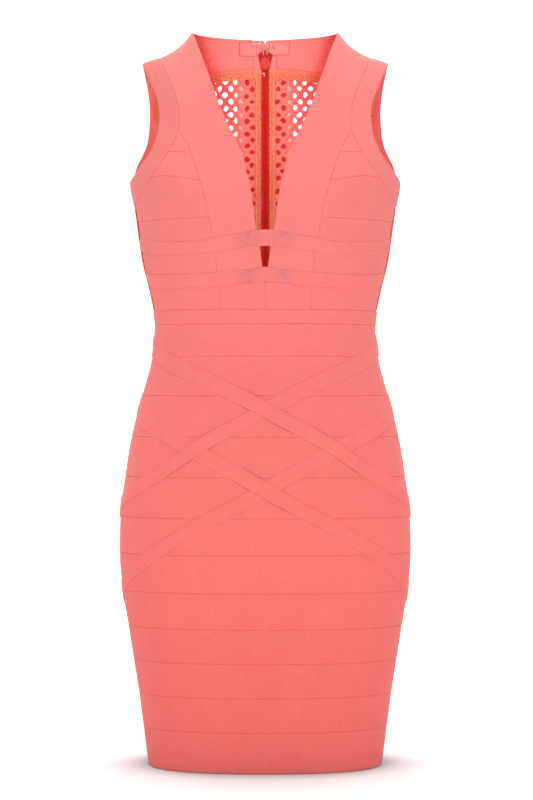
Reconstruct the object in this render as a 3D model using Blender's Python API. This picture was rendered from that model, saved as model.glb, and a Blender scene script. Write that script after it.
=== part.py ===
"""Fitted bandage dress: sleeveless, deep V neck, lattice back with a zip, worn form with no wearer.

Frame: metres, +Z up. The front faces -Y and the wearer's left side is +X.
The origin lies between the shoulders, level with the two neck points.
Sizes and tables are in millimetres; add_object turns them into metres.
"""

import math
from collections import namedtuple

import bpy
from mathutils import Matrix, Vector

for old in list(bpy.data.objects):
    bpy.data.objects.remove(old, do_unlink=True)

# ---------------------------------------------------------------- driving sizes

METRE = 0.001
WALL = 1.5
STRAP_WALL = 1.2
LATTICE_WALL = 1.2
TAPE_WALL = 0.8
SEAM_GAP = 0.3
LAYER_GAP = 0.5
NECK_ACROSS = 85.2
SHOULDER_SEAM_ACROSS = 122.3
ZIP_HALF_GAP = 1.3
ZIP_TAPE_WIDTH = 11.5
ZIP_BAND_WIDTH = 34.0
QUARTER_COLUMNS = 10
SIDE_SEAM_TURN = 77.0
STRAP_HEIGHT = 20.0
STRAP_ROWS = 2
SHOULDER_LEVEL = -40.0
UNDERARM_LEVEL = -175.0
CUP_RISE = 9.0
CUP_ACROSS = 76.0
CUP_HEIGHT = -226.0
CUP_SPREAD_ACROSS = 42.0
CUP_SPREAD_HEIGHT = 48.0


def table(columns, *rows):
    """Rows of numbers whose columns are named."""
    kind = namedtuple("Row", columns)
    return [kind(*row) for row in rows]


def column(rows, wanted):
    """One named column of a table."""
    return [getattr(row, wanted) for row in rows]


# The figure that the dress is cut for. A row for each level: the distance down from the
# neck point, the half width, how far the front and the back stand off the middle plane,
# and how square the ring is (2 is an ellipse). Above the underarm the stand-off is read
# at the distance down from the shoulder line.
FIGURE = table(
    "down half_width front back square",
    (0.0, 150.0, 0.0, 0.0, 2.2),
    (3.0, 150.0, 13.0, 14.0, 2.2),
    (12.0, 150.0, 26.0, 29.0, 2.2),
    (30.0, 150.0, 40.0, 45.0, 2.2),
    (50.0, 150.0, 51.0, 57.0, 2.2),
    (75.0, 150.0, 63.0, 69.0, 2.2),
    (105.0, 152.0, 76.0, 80.0, 2.2),
    (138.0, 155.0, 90.0, 90.0, 2.2),
    (175.0, 158.0, 103.0, 97.0, 2.2),
    (208.0, 152.5, 110.0, 99.0, 2.2),
    (240.0, 148.0, 112.0, 97.0, 2.2),
    (270.0, 143.5, 107.0, 92.0, 2.2),
    (300.0, 136.0, 97.0, 87.0, 2.25),
    (327.0, 130.6, 88.0, 85.0, 2.3),
    (343.0, 129.0, 85.0, 85.0, 2.3),
    (380.0, 132.0, 86.0, 93.0, 2.35),
    (425.0, 143.3, 93.0, 107.0, 2.4),
    (472.0, 155.5, 100.0, 117.0, 2.45),
    (518.0, 163.0, 105.0, 122.0, 2.5),
    (564.0, 168.7, 107.0, 121.0, 2.5),
    (606.0, 169.6, 107.0, 117.0, 2.5),
    (649.0, 166.0, 106.0, 112.0, 2.5),
    (690.0, 159.6, 104.0, 109.0, 2.5),
    (729.0, 153.4, 102.5, 107.0, 2.5),
    (768.0, 147.1, 101.5, 106.0, 2.5),
    (807.0, 142.0, 100.5, 105.0, 2.5),
    (853.0, 136.0, 100.0, 104.0, 2.5),
)

# The shoulder line, carried on up the neck as a guide for the back yoke.
SHOULDER = table(
    "across height",
    (0.0, 45.0),
    (40.0, 34.0),
    (70.0, 15.0),
    (NECK_ACROSS, 0.0),
    (93.0, -10.0),
    (101.0, -17.5),
    (113.0, -25.5),
    (SHOULDER_SEAM_ACROSS, -30.0),
    (144.0, -37.0),
    (160.0, -41.0),
)

# Seam levels of the waistband and of the twelve skirt strips.
WAIST_TOP = -327.0
SKIRT_SEAMS = (-343, -380, -425, -472, -518, -564, -606, -649, -690, -729, -768, -807, -853)
ZIP_END = -518.0

# The wide front panels: the neckline edge and the outer seam, row by row down the front.
V_PANEL = table(
    "neck_across neck_height seam_across seam_height",
    (NECK_ACROSS, 0.0, SHOULDER_SEAM_ACROSS, -30.0),
    (84.0, -4.0, 120.8, -34.5),
    (79.5, -16.0, 116.4, -46.8),
    (70.5, -41.0, 106.5, -70.9),
    (61.5, -67.0, 100.7, -89.5),
    (53.5, -90.0, 97.7, -106.6),
    (45.5, -109.0, 98.0, -121.0),
    (38.0, -126.0, 91.5, -133.3),
    (29.5, -143.0, 84.4, -147.8),
    (24.0, -160.0, 79.7, -162.0),
    (18.9, -181.0, 73.8, -181.0),
    (16.0, -195.0, 70.0, -195.0),
    (14.9, -202.0, 68.2, -202.0),
    (13.8, -209.0, 66.5, -209.0),
    (12.0, -224.0, 63.5, -224.0),
    (8.9, -246.0, 59.4, -246.0),
    (5.5, -263.0, 56.3, -263.0),
    (2.4, -284.0, 54.5, -284.0),
    (0.0, -297.0, 52.6, -297.0),
    (0.0, WAIST_TOP, 51.4, WAIST_TOP),
)
V_PANEL_SPANS = 3
GUSSET_TOP_ROW = 6
INSET_TOP_ROW = 8
CUP_SEAM_ROW = 10
BUST_SEAM_ROW = 14

# The armhole band, section by section, from the shoulder down the front to the underarm
# and up the back: its free edge and the seam that joins it to the panels.
BAND_COLUMNS = "edge_across edge_height seam_across seam_height"
BAND_FRONT = table(
    BAND_COLUMNS,
    (144.0, -37.0, SHOULDER_SEAM_ACROSS, -30.0),
    (142.0, -41.5, 120.8, -34.5),
    (137.5, -52.0, 116.4, -46.8),
    (128.5, -73.5, 106.5, -70.9),
    (123.3, -90.0, 100.7, -89.5),
    (122.0, -105.0, 97.7, -106.6),
    (123.3, -118.0, 99.4, -121.0),
    (124.4, -125.0, 102.0, -129.0),
    (129.6, -138.0, 110.6, -145.8),
    (134.0, -146.0, 117.5, -156.0),
    (144.5, -160.5, 130.6, -175.0),
    (151.5, -169.5, 141.5, -191.0),
    (155.2, -173.3, 149.0, -200.5),
)
BAND_BACK = table(
    BAND_COLUMNS,
    (155.4, -170.0, 146.0, -195.0),
    (150.6, -154.5, 138.0, -178.0),
    (145.2, -141.5, 129.0, -159.0),
    (140.6, -128.0, 121.0, -140.0),
    (138.0, -114.0, 116.0, -121.0),
    (136.8, -99.0, 113.5, -102.0),
    (136.8, -83.0, 114.0, -82.0),
    (139.0, -63.5, 116.0, -62.0),
    (141.6, -49.5, 119.0, -45.0),
    (143.2, -41.0, 121.0, -35.5),
)
BAND_GUSSET_SECTION = 6
BAND_INSET_SECTION = 8
BAND_CUP_SECTION = 10

# The band where it turns under the arm, where the ring runs front to back.
BAND_UNDERARM = table(
    "edge_turn edge_height seam_turn seam_height",
    (84.0, -175.6, 79.0, -203.6),
    (98.0, -174.2, 99.0, -204.0),
)

# The seam over the cup, from the armhole band to the front panel.
CUP_SEAM = table(
    "share height",
    (0.0, -175.0),
    (0.33, -174.0),
    (0.67, -177.0),
    (1.0, -181.0),
)
SIDE_SPANS = 4

# The back yoke over the lattice panel. Heights are at the centre back, and the seam under
# the yoke dips towards the armholes.
YOKE_TOP_HEIGHT = -1.5
TAPE_TOP_SHARE = 0.469
YOKE_ROW_SHARES = (0.0, 0.172, TAPE_TOP_SHARE, 1.0)
YOKE_SEAM_HEIGHT = -40.0
YOKE_SEAM_DIP = 22.0
YOKE_CORNER_ACROSS = 116.0
YOKE_CORNER_SECTION = 7
YOKE_NECK_SPANS = 4
BACK_LEVELS = (-62.0, -84.0, -106.0, -127.0, -148.0, -168.0, -185.0, -198.0, -208.0)
LOWER_LEVELS = (-224.0, -246.0, -263.0, -284.0, -297.0, WAIST_TOP)
ZIP_BAND_SPANS = 2
LATTICE_SPANS = 5

# Straps over the bust: top edge and bottom edge, by distance across.
STRAP_COLUMNS = "across top bottom"
UPPER_STRAP = table(
    STRAP_COLUMNS,
    (0.0, -238.0, -256.4),
    (12.0, -238.6, -256.6),
    (33.0, -242.5, -259.4),
    (56.0, -246.3, -262.0),
    (85.0, -250.5, -265.0),
    (119.0, -249.0, -264.2),
    (147.0, -242.0, -257.0),
)
LOWER_STRAP = table(
    STRAP_COLUMNS,
    (0.0, -279.6, -295.3),
    (26.0, -282.5, -298.7),
    (55.0, -284.8, -301.2),
    (85.0, -286.5, -302.2),
    (120.0, -286.0, -301.6),
    (141.0, -281.0, -297.0),
)

# Straps over the hips. Each runs from the wearer's right side (share -1) to the left side
# (share 1) along the front; its centre height is given by the share of the way round.
DIAGONAL_COLUMNS = "share height"
UPPER_DIAGONAL = table(
    DIAGONAL_COLUMNS,
    (-1.0, -363.5),
    (-0.6, -390.5),
    (-0.35, -409.0),
    (0.0, -441.0),
    (0.3, -475.0),
    (0.6, -518.0),
    (1.0, -558.0),
)
LOWER_DIAGONAL = table(
    DIAGONAL_COLUMNS,
    (-1.0, -431.0),
    (-0.5, -475.5),
    (-0.2, -507.5),
    (0.1, -544.5),
    (0.4, -581.5),
    (0.7, -622.0),
    (1.0, -658.0),
)
CROSSING_REACH = 38.0

# Hard trim, measured in the slider's own frame: X across, Y out of the back, Z up along
# the zip, with the cloth's outer face at Y = 0.
SLIDER_LENGTH = 21.6
SLIDER_RISE = 5.6
SLIDER_LOBE_RADIUS = 4.4
SLIDER_LOBE_ACROSS = 3.6
SLIDER_TOE_RADIUS = 4.8
SLIDER_PLATE = 1.4
SLIDER_GAP = 1.9
LUG_HALF_WIDTH = 0.7
LUG_RADIUS = 2.2
LUG_SIDES = 20
PIVOT_OUT = 2.6
PIVOT_UP = 2.0
PIVOT_HOLE_RADIUS = 1.1
PULL_LENGTH = 24.0
PULL_TOP_HALF_WIDTH = 2.7
PULL_END_RADIUS = 4.2
PULL_THICKNESS = 1.2
PULL_BAR = 1.2
WINDOW_HALF_WIDTH = 1.5
WINDOW_LENGTH = 4.0
TAB_WALL = 1.0
WIRE_RADIUS = 0.45

# Tabs inside the neck edge at the top of the zip, one on each side.
TABS = table(
    "name inner_across outer_across top bottom",
    ("hook_tab_right", 10.5, 31.0, -3.6, -19.0),
    ("eye_tab_left", 1.6, 29.0, -3.0, -17.6),
)

# The bent wires on the tabs: distance across, height and distance in from the tab's face.
WIRE_COLUMNS = "across height inwards"
HOOK_WIRE = table(
    WIRE_COLUMNS,
    (-13.4, -2.9, 0.0),
    (-14.8, -3.8, 0.0),
    (-16.7, -3.6, 0.0),
    (-17.4, -2.4, 0.0),
    (-16.2, -1.4, 0.0),
    (-13.0, -1.2, 0.0),
    (-8.6, -1.0, 0.4),
    (-5.4, -1.0, 0.8),
    (-4.1, -2.2, 1.0),
    (-5.2, -3.6, 0.8),
    (-8.6, -4.0, 0.4),
    (-12.4, -4.8, 0.0),
    (-15.2, -5.8, 0.0),
    (-16.0, -7.4, 0.0),
    (-14.6, -8.5, 0.0),
    (-13.0, -7.6, 0.0),
)
EYE_WIRE = table(
    WIRE_COLUMNS,
    (5.6, -11.4, 0.0),
    (4.0, -11.0, 0.0),
    (3.8, -9.4, 0.0),
    (5.4, -8.4, 0.0),
    (5.2, -6.4, 0.0),
    (6.4, -4.9, 0.0),
    (8.6, -4.6, 0.0),
    (10.2, -5.8, 0.0),
    (10.2, -7.6, 0.0),
    (9.2, -8.8, 0.0),
    (10.0, -10.4, 0.0),
    (11.8, -10.2, 0.0),
    (12.2, -8.6, 0.0),
)

KNIT = {"name": "coral_knit", "color": (0.91, 0.20, 0.17), "roughness": 0.78, "metallic": 0.0}
LATTICE = {"name": "coral_lattice", "color": (0.90, 0.19, 0.16), "roughness": 0.8, "metallic": 0.0}
TAPE = {"name": "red_zip_tape", "color": (0.62, 0.02, 0.02), "roughness": 0.7, "metallic": 0.0}
PAINT = {"name": "red_painted_metal", "color": (0.70, 0.04, 0.03), "roughness": 0.35, "metallic": 0.2}
STEEL = {"name": "steel_wire", "color": (0.75, 0.75, 0.76), "roughness": 0.25, "metallic": 1.0}


# ---------------------------------------------------------------- the figure


def smooth_value(knots, values, at):
    """A monotone cubic curve through the given knots, read at one place."""
    at = min(max(at, knots[0]), knots[-1])
    steps = [b - a for a, b in zip(knots, knots[1:])]
    rises = [(b - a) / h for a, b, h in zip(values, values[1:], steps)]
    place = 0
    while place < len(steps) - 1 and at > knots[place + 1]:
        place += 1

    def slope(k):
        if k == 0:
            return rises[0]
        if k == len(steps):
            return rises[-1]
        if rises[k - 1] * rises[k] <= 0:
            return 0.0
        near = 2 * steps[k] + steps[k - 1]
        far = steps[k] + 2 * steps[k - 1]
        return (near + far) / (near / rises[k - 1] + far / rises[k])

    h = steps[place]
    t = (at - knots[place]) / h
    start = (1 + 2 * t) * (1 - t) ** 2 * values[place] + t * (1 - t) ** 2 * h * slope(place)
    end = t * t * (3 - 2 * t) * values[place + 1] + t * t * (t - 1) * h * slope(place + 1)
    return start + end


DOWN = column(FIGURE, "down")
ROOT_DOWN = [math.sqrt(value) for value in DOWN]
HALF_WIDTHS = column(FIGURE, "half_width")
FRONTS = column(FIGURE, "front")
BACKS = column(FIGURE, "back")
SQUARES = column(FIGURE, "square")
SHOULDER_ACROSS = column(SHOULDER, "across")
SHOULDER_HEIGHTS = column(SHOULDER, "height")


def shoulder_share(height):
    """1 at the shoulders, where rings follow the shoulder line, and 0 at the underarm."""
    share = (height - UNDERARM_LEVEL) / (SHOULDER_LEVEL - UNDERARM_LEVEL)
    share = min(max(share, 0.0), 1.0)
    return share * share * (3 - 2 * share)


def shoulder_height(across):
    return smooth_value(SHOULDER_ACROSS, SHOULDER_HEIGHTS, abs(across))


def drop_below_shoulder(across, height):
    return max(shoulder_height(across) * shoulder_share(height) - height, 0.0)


def half_width(height):
    return smooth_value(DOWN, HALF_WIDTHS, -height)


def squareness(height):
    return smooth_value(DOWN, SQUARES, -height)


def figure_point(turn, height):
    """A point of the cloth's outer face. turn is in degrees from the centre front, up to
    180 at the centre back, positive towards +X."""
    turn = (turn + 180.0) % 360.0 - 180.0
    is_front = abs(turn) <= 90.0
    swing = math.radians(abs(turn) if is_front else 180.0 - abs(turn))
    power = 2.0 / squareness(height)
    across = half_width(height) * abs(math.sin(swing)) ** power
    flat = abs(math.cos(swing)) ** power
    root = math.sqrt(drop_below_shoulder(across, height))
    depth = smooth_value(ROOT_DOWN, FRONTS if is_front else BACKS, root) * flat
    if is_front:
        aside = (across - CUP_ACROSS) / CUP_SPREAD_ACROSS
        above = (height - CUP_HEIGHT) / CUP_SPREAD_HEIGHT
        depth += CUP_RISE * math.exp(-aside * aside - above * above) * flat
    return Vector((math.copysign(across, turn), -depth if is_front else depth, height))


def turn_at(across, height, back=False):
    """The turn at which the ring of this height is this far across."""
    share = min(abs(across) / half_width(height), 1.0)
    swing = math.degrees(math.asin(share ** (squareness(height) / 2.0)))
    return math.copysign(180.0 - swing if back else swing, across)


def outward(turn, height):
    """The cloth's outward direction, also along the shoulder line."""
    here = figure_point(turn, height)
    drop = drop_below_shoulder(here.x, height)
    if drop < 0.6:
        rise = shoulder_height(abs(here.x) + 1.0) - shoulder_height(abs(here.x) - 1.0)
        return Vector((math.copysign(-rise / 2.0, here.x), 0.0, 1.0)).normalized()
    step = min(2.0, 0.3 * drop)
    around = figure_point(turn + 0.6, height) - figure_point(turn - 0.6, height)
    up = figure_point(turn, height + step) - figure_point(turn, height - step)
    return around.cross(up).normalized()


def equal_turns(level, back):
    """The turns that cut a quarter of the ring at this level into equal lengths."""
    fine = 360
    turns = [90.0 * k / fine for k in range(fine + 1)]
    points = [figure_point(180.0 - t if back else t, level) for t in turns]
    walked = [0.0]
    for a, b in zip(points, points[1:]):
        walked.append(walked[-1] + (b - a).length)
    found = []
    for k in range(QUARTER_COLUMNS + 1):
        target = walked[-1] * k / QUARTER_COLUMNS
        place = min(range(fine + 1), key=lambda n: abs(walked[n] - target))
        found.append(turns[place])
    return found


FRONT_TURNS = equal_turns(-564.0, back=False)
BACK_TURNS = equal_turns(-564.0, back=True)


# ---------------------------------------------------------------- walls from grids


def make_material(look):
    found = bpy.data.materials.get(look["name"])
    if found:
        return found
    made = bpy.data.materials.new(look["name"])
    made.use_nodes = True
    shader = made.node_tree.nodes["Principled BSDF"]
    shader.inputs["Base Color"].default_value = (*look["color"], 1.0)
    shader.inputs["Roughness"].default_value = look["roughness"]
    shader.inputs["Metallic"].default_value = look["metallic"]
    return made


def add_object(name, points, faces, look, place=None):
    """An object with its own mesh, in metres; place is its matrix, in millimetres."""
    mesh = bpy.data.meshes.new(name)
    mesh.from_pydata([tuple(p * METRE) for p in points], [], faces)
    mesh.materials.append(make_material(look))
    made = bpy.data.objects.new(name, mesh)
    bpy.context.scene.collection.objects.link(made)
    if place is not None:
        made.matrix_world = Matrix.Translation(place.translation * METRE) @ place.to_3x3().to_4x4()
    return made


def inset_edge(points, along, step):
    """Draws one edge row of points in by step, square to the edge."""
    moved = []
    for k, point in enumerate(points):
        ahead = points[min(k + 1, len(points) - 1)]
        behind = points[max(k - 1, 0)]
        tangent = (ahead - behind).normalized()
        inward = along[k] - point
        inward = (inward - tangent * inward.dot(tangent)).normalized()
        moved.append(point + inward * step)
    return moved


def draw_in(grid, closed):
    """Leaves half a seam gap all round a grid of points."""
    step = SEAM_GAP / 2.0
    top = inset_edge(grid[0], grid[1], step)
    bottom = inset_edge(grid[-1], grid[-2], step)
    rows = [top, *[list(row) for row in grid[1:-1]], bottom]
    if closed:
        return rows
    left = inset_edge([row[0] for row in rows], [row[1] for row in rows], step)
    right = inset_edge([row[-1] for row in rows], [row[-2] for row in rows], step)
    return [[a, *row[1:-1], b] for a, row, b in zip(left, rows, right)]


def wall_faces(rows, columns, closed):
    """Faces of a wall: an outer grid, an inner grid after it, and the rims between."""
    inner = rows * columns
    spans = columns if closed else columns - 1

    def at(row, place, layer):
        return layer + row * columns + place % columns

    faces = []
    for row in range(rows - 1):
        for place in range(spans):
            outer = (
                at(row, place, 0),
                at(row + 1, place, 0),
                at(row + 1, place + 1, 0),
                at(row, place + 1, 0),
            )
            faces.append(outer)
            faces.append(tuple(v + inner for v in reversed(outer)))
    for place in range(spans):
        faces.append((at(0, place, 0), at(0, place + 1, 0), at(0, place + 1, inner), at(0, place, inner)))
        low = rows - 1
        faces.append(
            (at(low, place + 1, 0), at(low, place, 0), at(low, place, inner), at(low, place + 1, inner))
        )
    if not closed:
        for row in range(rows - 1):
            faces.append((at(row + 1, 0, 0), at(row, 0, 0), at(row, 0, inner), at(row + 1, 0, inner)))
            end = columns - 1
            faces.append(
                (at(row, end, 0), at(row + 1, end, 0), at(row + 1, end, inner), at(row, end, inner))
            )
    return faces


def add_wall(name, spots, look, thickness=WALL, outer=0.0, closed=False, lifts=None, on=None):
    """A cloth wall over a grid of (turn, height) spots. Rows run down the cloth and columns
    run towards +X at the front. outer is how far its outer face stands off the figure,
    lifts adds to that column by column, and on is the surface that it follows."""
    on = on or figure_point
    surface = draw_in([[on(*spot) for spot in row] for row in spots], closed)
    outer_points, inner_points = [], []
    for row, spot_row in zip(surface, spots):
        for place, (point, spot) in enumerate(zip(row, spot_row)):
            rise = outer + (lifts[place] if lifts else 0.0)
            normal = outward(*spot)
            outer_points.append(point + normal * rise)
            inner_points.append(point + normal * (rise - thickness))
    faces = wall_faces(len(spots), len(spots[0]), closed)
    return add_object(name, outer_points + inner_points, faces, look)


def mirrored(spots):
    """The same grid on the wearer's right, its columns turned round to keep their order."""
    return [[(-turn, height) for turn, height in reversed(row)] for row in spots]


def add_pair(name, spots, look, thickness=WALL, outer=0.0, closed=False):
    """A wall on the wearer's left and its mirror on the right."""
    add_wall(f"{name}_left", spots, look, thickness, outer, closed)
    add_wall(f"{name}_right", mirrored(spots), look, thickness, outer, closed)


def between(start, end, spans):
    """Spots at equal steps from one spot to another."""
    return [tuple(a + (b - a) * k / spans for a, b in zip(start, end)) for k in range(spans + 1)]


def front_spot(across, height):
    return (turn_at(across, height), height)


def back_spot(across, height):
    return (turn_at(across, height, back=True), height)


# ---------------------------------------------------------------- skirt and waistband


def ring_turns(open_back):
    """Turns right round, from the centre back past the right side to the front and on."""
    left = FRONT_TURNS + [180.0 - t for t in reversed(BACK_TURNS[:-1])]
    right = [-t for t in reversed(left[1:])]
    if open_back:
        return right[1:] + left[:-1]
    return right + left[:-1]


def ring_row(height, open_back):
    turns = ring_turns(open_back)
    if open_back:
        edge = turn_at(ZIP_HALF_GAP, height, back=True)
        turns = [-edge, *turns, edge]
    return [(turn, height) for turn in turns]


def add_ring(name, top, bottom):
    """A level strip of knit, open at the centre back as far down as the zip goes."""
    open_back = bottom >= ZIP_END
    spots = [ring_row(top, open_back), ring_row(bottom, open_back)]
    add_wall(name, spots, KNIT, closed=not open_back)


def add_skirt():
    add_ring("waistband", WAIST_TOP, SKIRT_SEAMS[0])
    for number, (top, bottom) in enumerate(zip(SKIRT_SEAMS, SKIRT_SEAMS[1:]), start=1):
        add_ring(f"skirt_strip_{number:02d}", top, bottom)


# ---------------------------------------------------------------- front bodice


def v_panel_seam(first, last):
    """Spots of the front panel's outer seam, from one row to another."""
    return [front_spot(row.seam_across, row.seam_height) for row in V_PANEL[first : last + 1]]


def shoulder_seam(across_to_spot):
    """Spots along the shoulder seam, from the neck point out to the armhole band."""
    width = SHOULDER_SEAM_ACROSS - NECK_ACROSS
    found = []
    for k in range(V_PANEL_SPANS + 1):
        across = NECK_ACROSS + width * k / V_PANEL_SPANS
        found.append(across_to_spot(across, shoulder_height(across)))
    return found


def add_v_panels():
    rows = [shoulder_seam(front_spot)]
    for row in V_PANEL[1:]:
        neck = front_spot(row.neck_across, row.neck_height)
        seam = front_spot(row.seam_across, row.seam_height)
        rows.append(between(neck, seam, V_PANEL_SPANS))
    add_pair("front_v_panel", rows, KNIT)


def band_edges(rows, place):
    """Spots of the armhole band's free edge."""
    return [place(row.edge_across, row.edge_height) for row in rows]


def band_seam(rows, place):
    """Spots of the seam that joins the armhole band to the panels."""
    return [place(row.seam_across, row.seam_height) for row in rows]


def cup_seam():
    """The arched seam over the cup, from the front panel out to the armhole band."""
    panel_end = v_panel_seam(CUP_SEAM_ROW, CUP_SEAM_ROW)[0]
    band_end = band_seam(BAND_FRONT, front_spot)[BAND_CUP_SECTION]
    shares = column(CUP_SEAM, "share")
    heights = column(CUP_SEAM, "height")
    turns = between(panel_end, band_end, SIDE_SPANS)
    return [
        (turn, smooth_value(shares, heights, 1.0 - k / SIDE_SPANS))
        for k, (turn, _) in enumerate(turns)
    ]


def spans_across(left_spots, right_spots):
    return [between(a, b, SIDE_SPANS) for a, b in zip(left_spots, right_spots)]


def add_bust_pieces():
    """The gusset, the inset over the cup, the cup piece and the side panel, on each side."""
    band = band_seam(BAND_FRONT, front_spot)
    under = BAND_UNDERARM[0]
    junction = (under.seam_turn, under.seam_height)
    gusset = spans_across(
        v_panel_seam(GUSSET_TOP_ROW, INSET_TOP_ROW),
        band[BAND_GUSSET_SECTION : BAND_INSET_SECTION + 1],
    )
    add_pair("bust_gusset", gusset, KNIT)

    inset = spans_across(
        v_panel_seam(INSET_TOP_ROW, CUP_SEAM_ROW),
        band[BAND_INSET_SECTION : BAND_CUP_SECTION + 1],
    )
    inset[-1] = cup_seam()
    add_pair("bust_inset", inset, KNIT)

    cup_outer = [*band[BAND_CUP_SECTION:], junction, (SIDE_SEAM_TURN, LOWER_LEVELS[0])]
    cup = spans_across(v_panel_seam(CUP_SEAM_ROW, BUST_SEAM_ROW), cup_outer)
    cup[0] = cup_seam()
    add_pair("bust_side", cup, KNIT)

    side_seam = [(SIDE_SEAM_TURN, level) for level in LOWER_LEVELS]
    lower = spans_across(v_panel_seam(BUST_SEAM_ROW, len(V_PANEL) - 1), side_seam)
    add_pair("side_panel", lower, KNIT)


def add_armhole_bands():
    edges = band_edges(BAND_FRONT, front_spot)
    edges += [(row.edge_turn, row.edge_height) for row in BAND_UNDERARM]
    edges += band_edges(BAND_BACK, back_spot)
    seams = band_seam(BAND_FRONT, front_spot)
    seams += [(row.seam_turn, row.seam_height) for row in BAND_UNDERARM]
    seams += band_seam(BAND_BACK, back_spot)
    add_pair("armhole_band", [edges, seams], KNIT, closed=True)


def strap_turns(level):
    """Turns of the columns of the panels under a bust strap, from the right to the left."""
    depths = [-height for height in column(V_PANEL, "seam_height")]
    neck = smooth_value(depths, column(V_PANEL, "neck_across"), -level)
    seam = smooth_value(depths, column(V_PANEL, "seam_across"), -level)
    panel = between(front_spot(neck, level), front_spot(seam, level), V_PANEL_SPANS)
    side = between(front_spot(seam, level), (SIDE_SEAM_TURN, level), SIDE_SPANS)
    left = [turn for turn, _ in panel + side[1:]]
    return [-turn for turn in reversed(left)] + [0.0] + left


def add_bust_strap(name, rows):
    """A strap of knit over the front, from side seam to side seam, across the open V."""
    across = column(rows, "across")
    tops = column(rows, "top")
    bottoms = column(rows, "bottom")
    middle = len(rows) // 2
    level = (tops[middle] + bottoms[middle]) / 2.0
    columns = []
    for turn in strap_turns(level):
        here = abs(figure_point(turn, level).x)
        top = (turn, smooth_value(across, tops, here))
        bottom = (turn, smooth_value(across, bottoms, here))
        columns.append(between(top, bottom, STRAP_ROWS))
    spots = [list(row) for row in zip(*columns)]
    add_wall(name, spots, KNIT, STRAP_WALL, outer=LAYER_GAP + STRAP_WALL)


# ---------------------------------------------------------------- hip straps


def strip_point(turn, height):
    """A point of the skirt strips, which run straight from seam to seam."""
    place = next(k for k in range(1, len(SKIRT_SEAMS)) if height >= SKIRT_SEAMS[k])
    high, low = SKIRT_SEAMS[place - 1], SKIRT_SEAMS[place]
    share = (high - height) / (high - low)
    return figure_point(turn, high).lerp(figure_point(turn, low), share)


def diagonal_heights(rows, to_left):
    """Centre heights of a hip strap at each column, from the right side to the left."""
    shares = column(rows, "share")
    heights = column(rows, "height")
    steps = range(-QUARTER_COLUMNS, QUARTER_COLUMNS + 1)
    found = [smooth_value(shares, heights, k / QUARTER_COLUMNS) for k in steps]
    return found if to_left else found[::-1]


def add_hip_straps():
    """Two pairs of crossing straps. A strap that is sewn on later rises over the earlier
    ones where it crosses them."""
    turns = [-t for t in reversed(FRONT_TURNS[1:])] + FRONT_TURNS
    laid = []
    for name, rows, to_left in (
        ("lower_hip_strap_to_right", LOWER_DIAGONAL, False),
        ("lower_hip_strap_to_left", LOWER_DIAGONAL, True),
        ("upper_hip_strap_to_right", UPPER_DIAGONAL, False),
        ("upper_hip_strap_to_left", UPPER_DIAGONAL, True),
    ):
        heights = diagonal_heights(rows, to_left)
        lifts = []
        for place, height in enumerate(heights):
            crosses = any(abs(height - under[place]) < CROSSING_REACH for under in laid)
            lifts.append(STRAP_WALL + LAYER_GAP if crosses else 0.0)
        spots = []
        for k in range(STRAP_ROWS + 1):
            offset = STRAP_HEIGHT * (0.5 - k / STRAP_ROWS)
            spots.append([(turn, height + offset) for turn, height in zip(turns, heights)])
        outer = LAYER_GAP + STRAP_WALL
        add_wall(name, spots, KNIT, STRAP_WALL, outer, lifts=lifts, on=strip_point)
        laid.append(heights)


# ---------------------------------------------------------------- back


def yoke_level(share):
    """A height at the centre back, by its share of the way down the yoke."""
    return YOKE_TOP_HEIGHT + (YOKE_SEAM_HEIGHT - YOKE_TOP_HEIGHT) * share


def yoke_rows():
    """Rows of the left yoke, from the armhole band in to the centre back."""
    top = [back_spot(ZIP_HALF_GAP, YOKE_TOP_HEIGHT)]
    for k in range(1, YOKE_NECK_SPANS):
        share = k / YOKE_NECK_SPANS
        top.append(back_spot(NECK_ACROSS * share, YOKE_TOP_HEIGHT * (1.0 - share)))
    top += shoulder_seam(back_spot)
    rows = []
    for share in YOKE_ROW_SHARES:
        row = []
        for upper, lower in zip(top, yoke_seam()):
            start, end = figure_point(*upper), figure_point(*lower)
            across = start.x + (end.x - start.x) * share
            row.append(back_spot(across, start.z + (end.z - start.z) * share))
        rows.append(row)
    rows[0] = top
    for row, corner in zip(rows[1:], reversed(band_seam(BAND_BACK[YOKE_CORNER_SECTION:], back_spot))):
        row[-1] = corner
    return [row[::-1] for row in rows]


def yoke_seam():
    """Spots of the seam under the yoke, from the centre back out to the armhole band."""
    band = ZIP_BAND_WIDTH
    places = [ZIP_HALF_GAP, (ZIP_HALF_GAP + band) / 2.0]
    step = (YOKE_CORNER_ACROSS - band) / LATTICE_SPANS
    places += [band + step * k for k in range(LATTICE_SPANS + 1)]
    seam = []
    for across in places:
        dip = YOKE_SEAM_DIP * (across / YOKE_CORNER_ACROSS) ** 2
        seam.append(back_spot(across, YOKE_SEAM_HEIGHT - dip))
    return seam


def lattice_rows():
    """Rows of the left lattice panel, from its outer seams in to the centre back."""
    outer = band_seam(reversed(BAND_BACK[:YOKE_CORNER_SECTION]), back_spot)
    outer += [(row.seam_turn, row.seam_height) for row in reversed(BAND_UNDERARM)]
    outer += [(SIDE_SEAM_TURN, level) for level in LOWER_LEVELS]
    rows = [yoke_seam()]
    for level, outer_spot in zip([*BACK_LEVELS, *LOWER_LEVELS], outer):
        gap = back_spot(ZIP_HALF_GAP, level)
        band_edge = back_spot(ZIP_BAND_WIDTH, level)
        row = between(gap, band_edge, ZIP_BAND_SPANS)
        rows.append(row + between(band_edge, outer_spot, LATTICE_SPANS)[1:])
    return [row[::-1] for row in rows]


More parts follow.
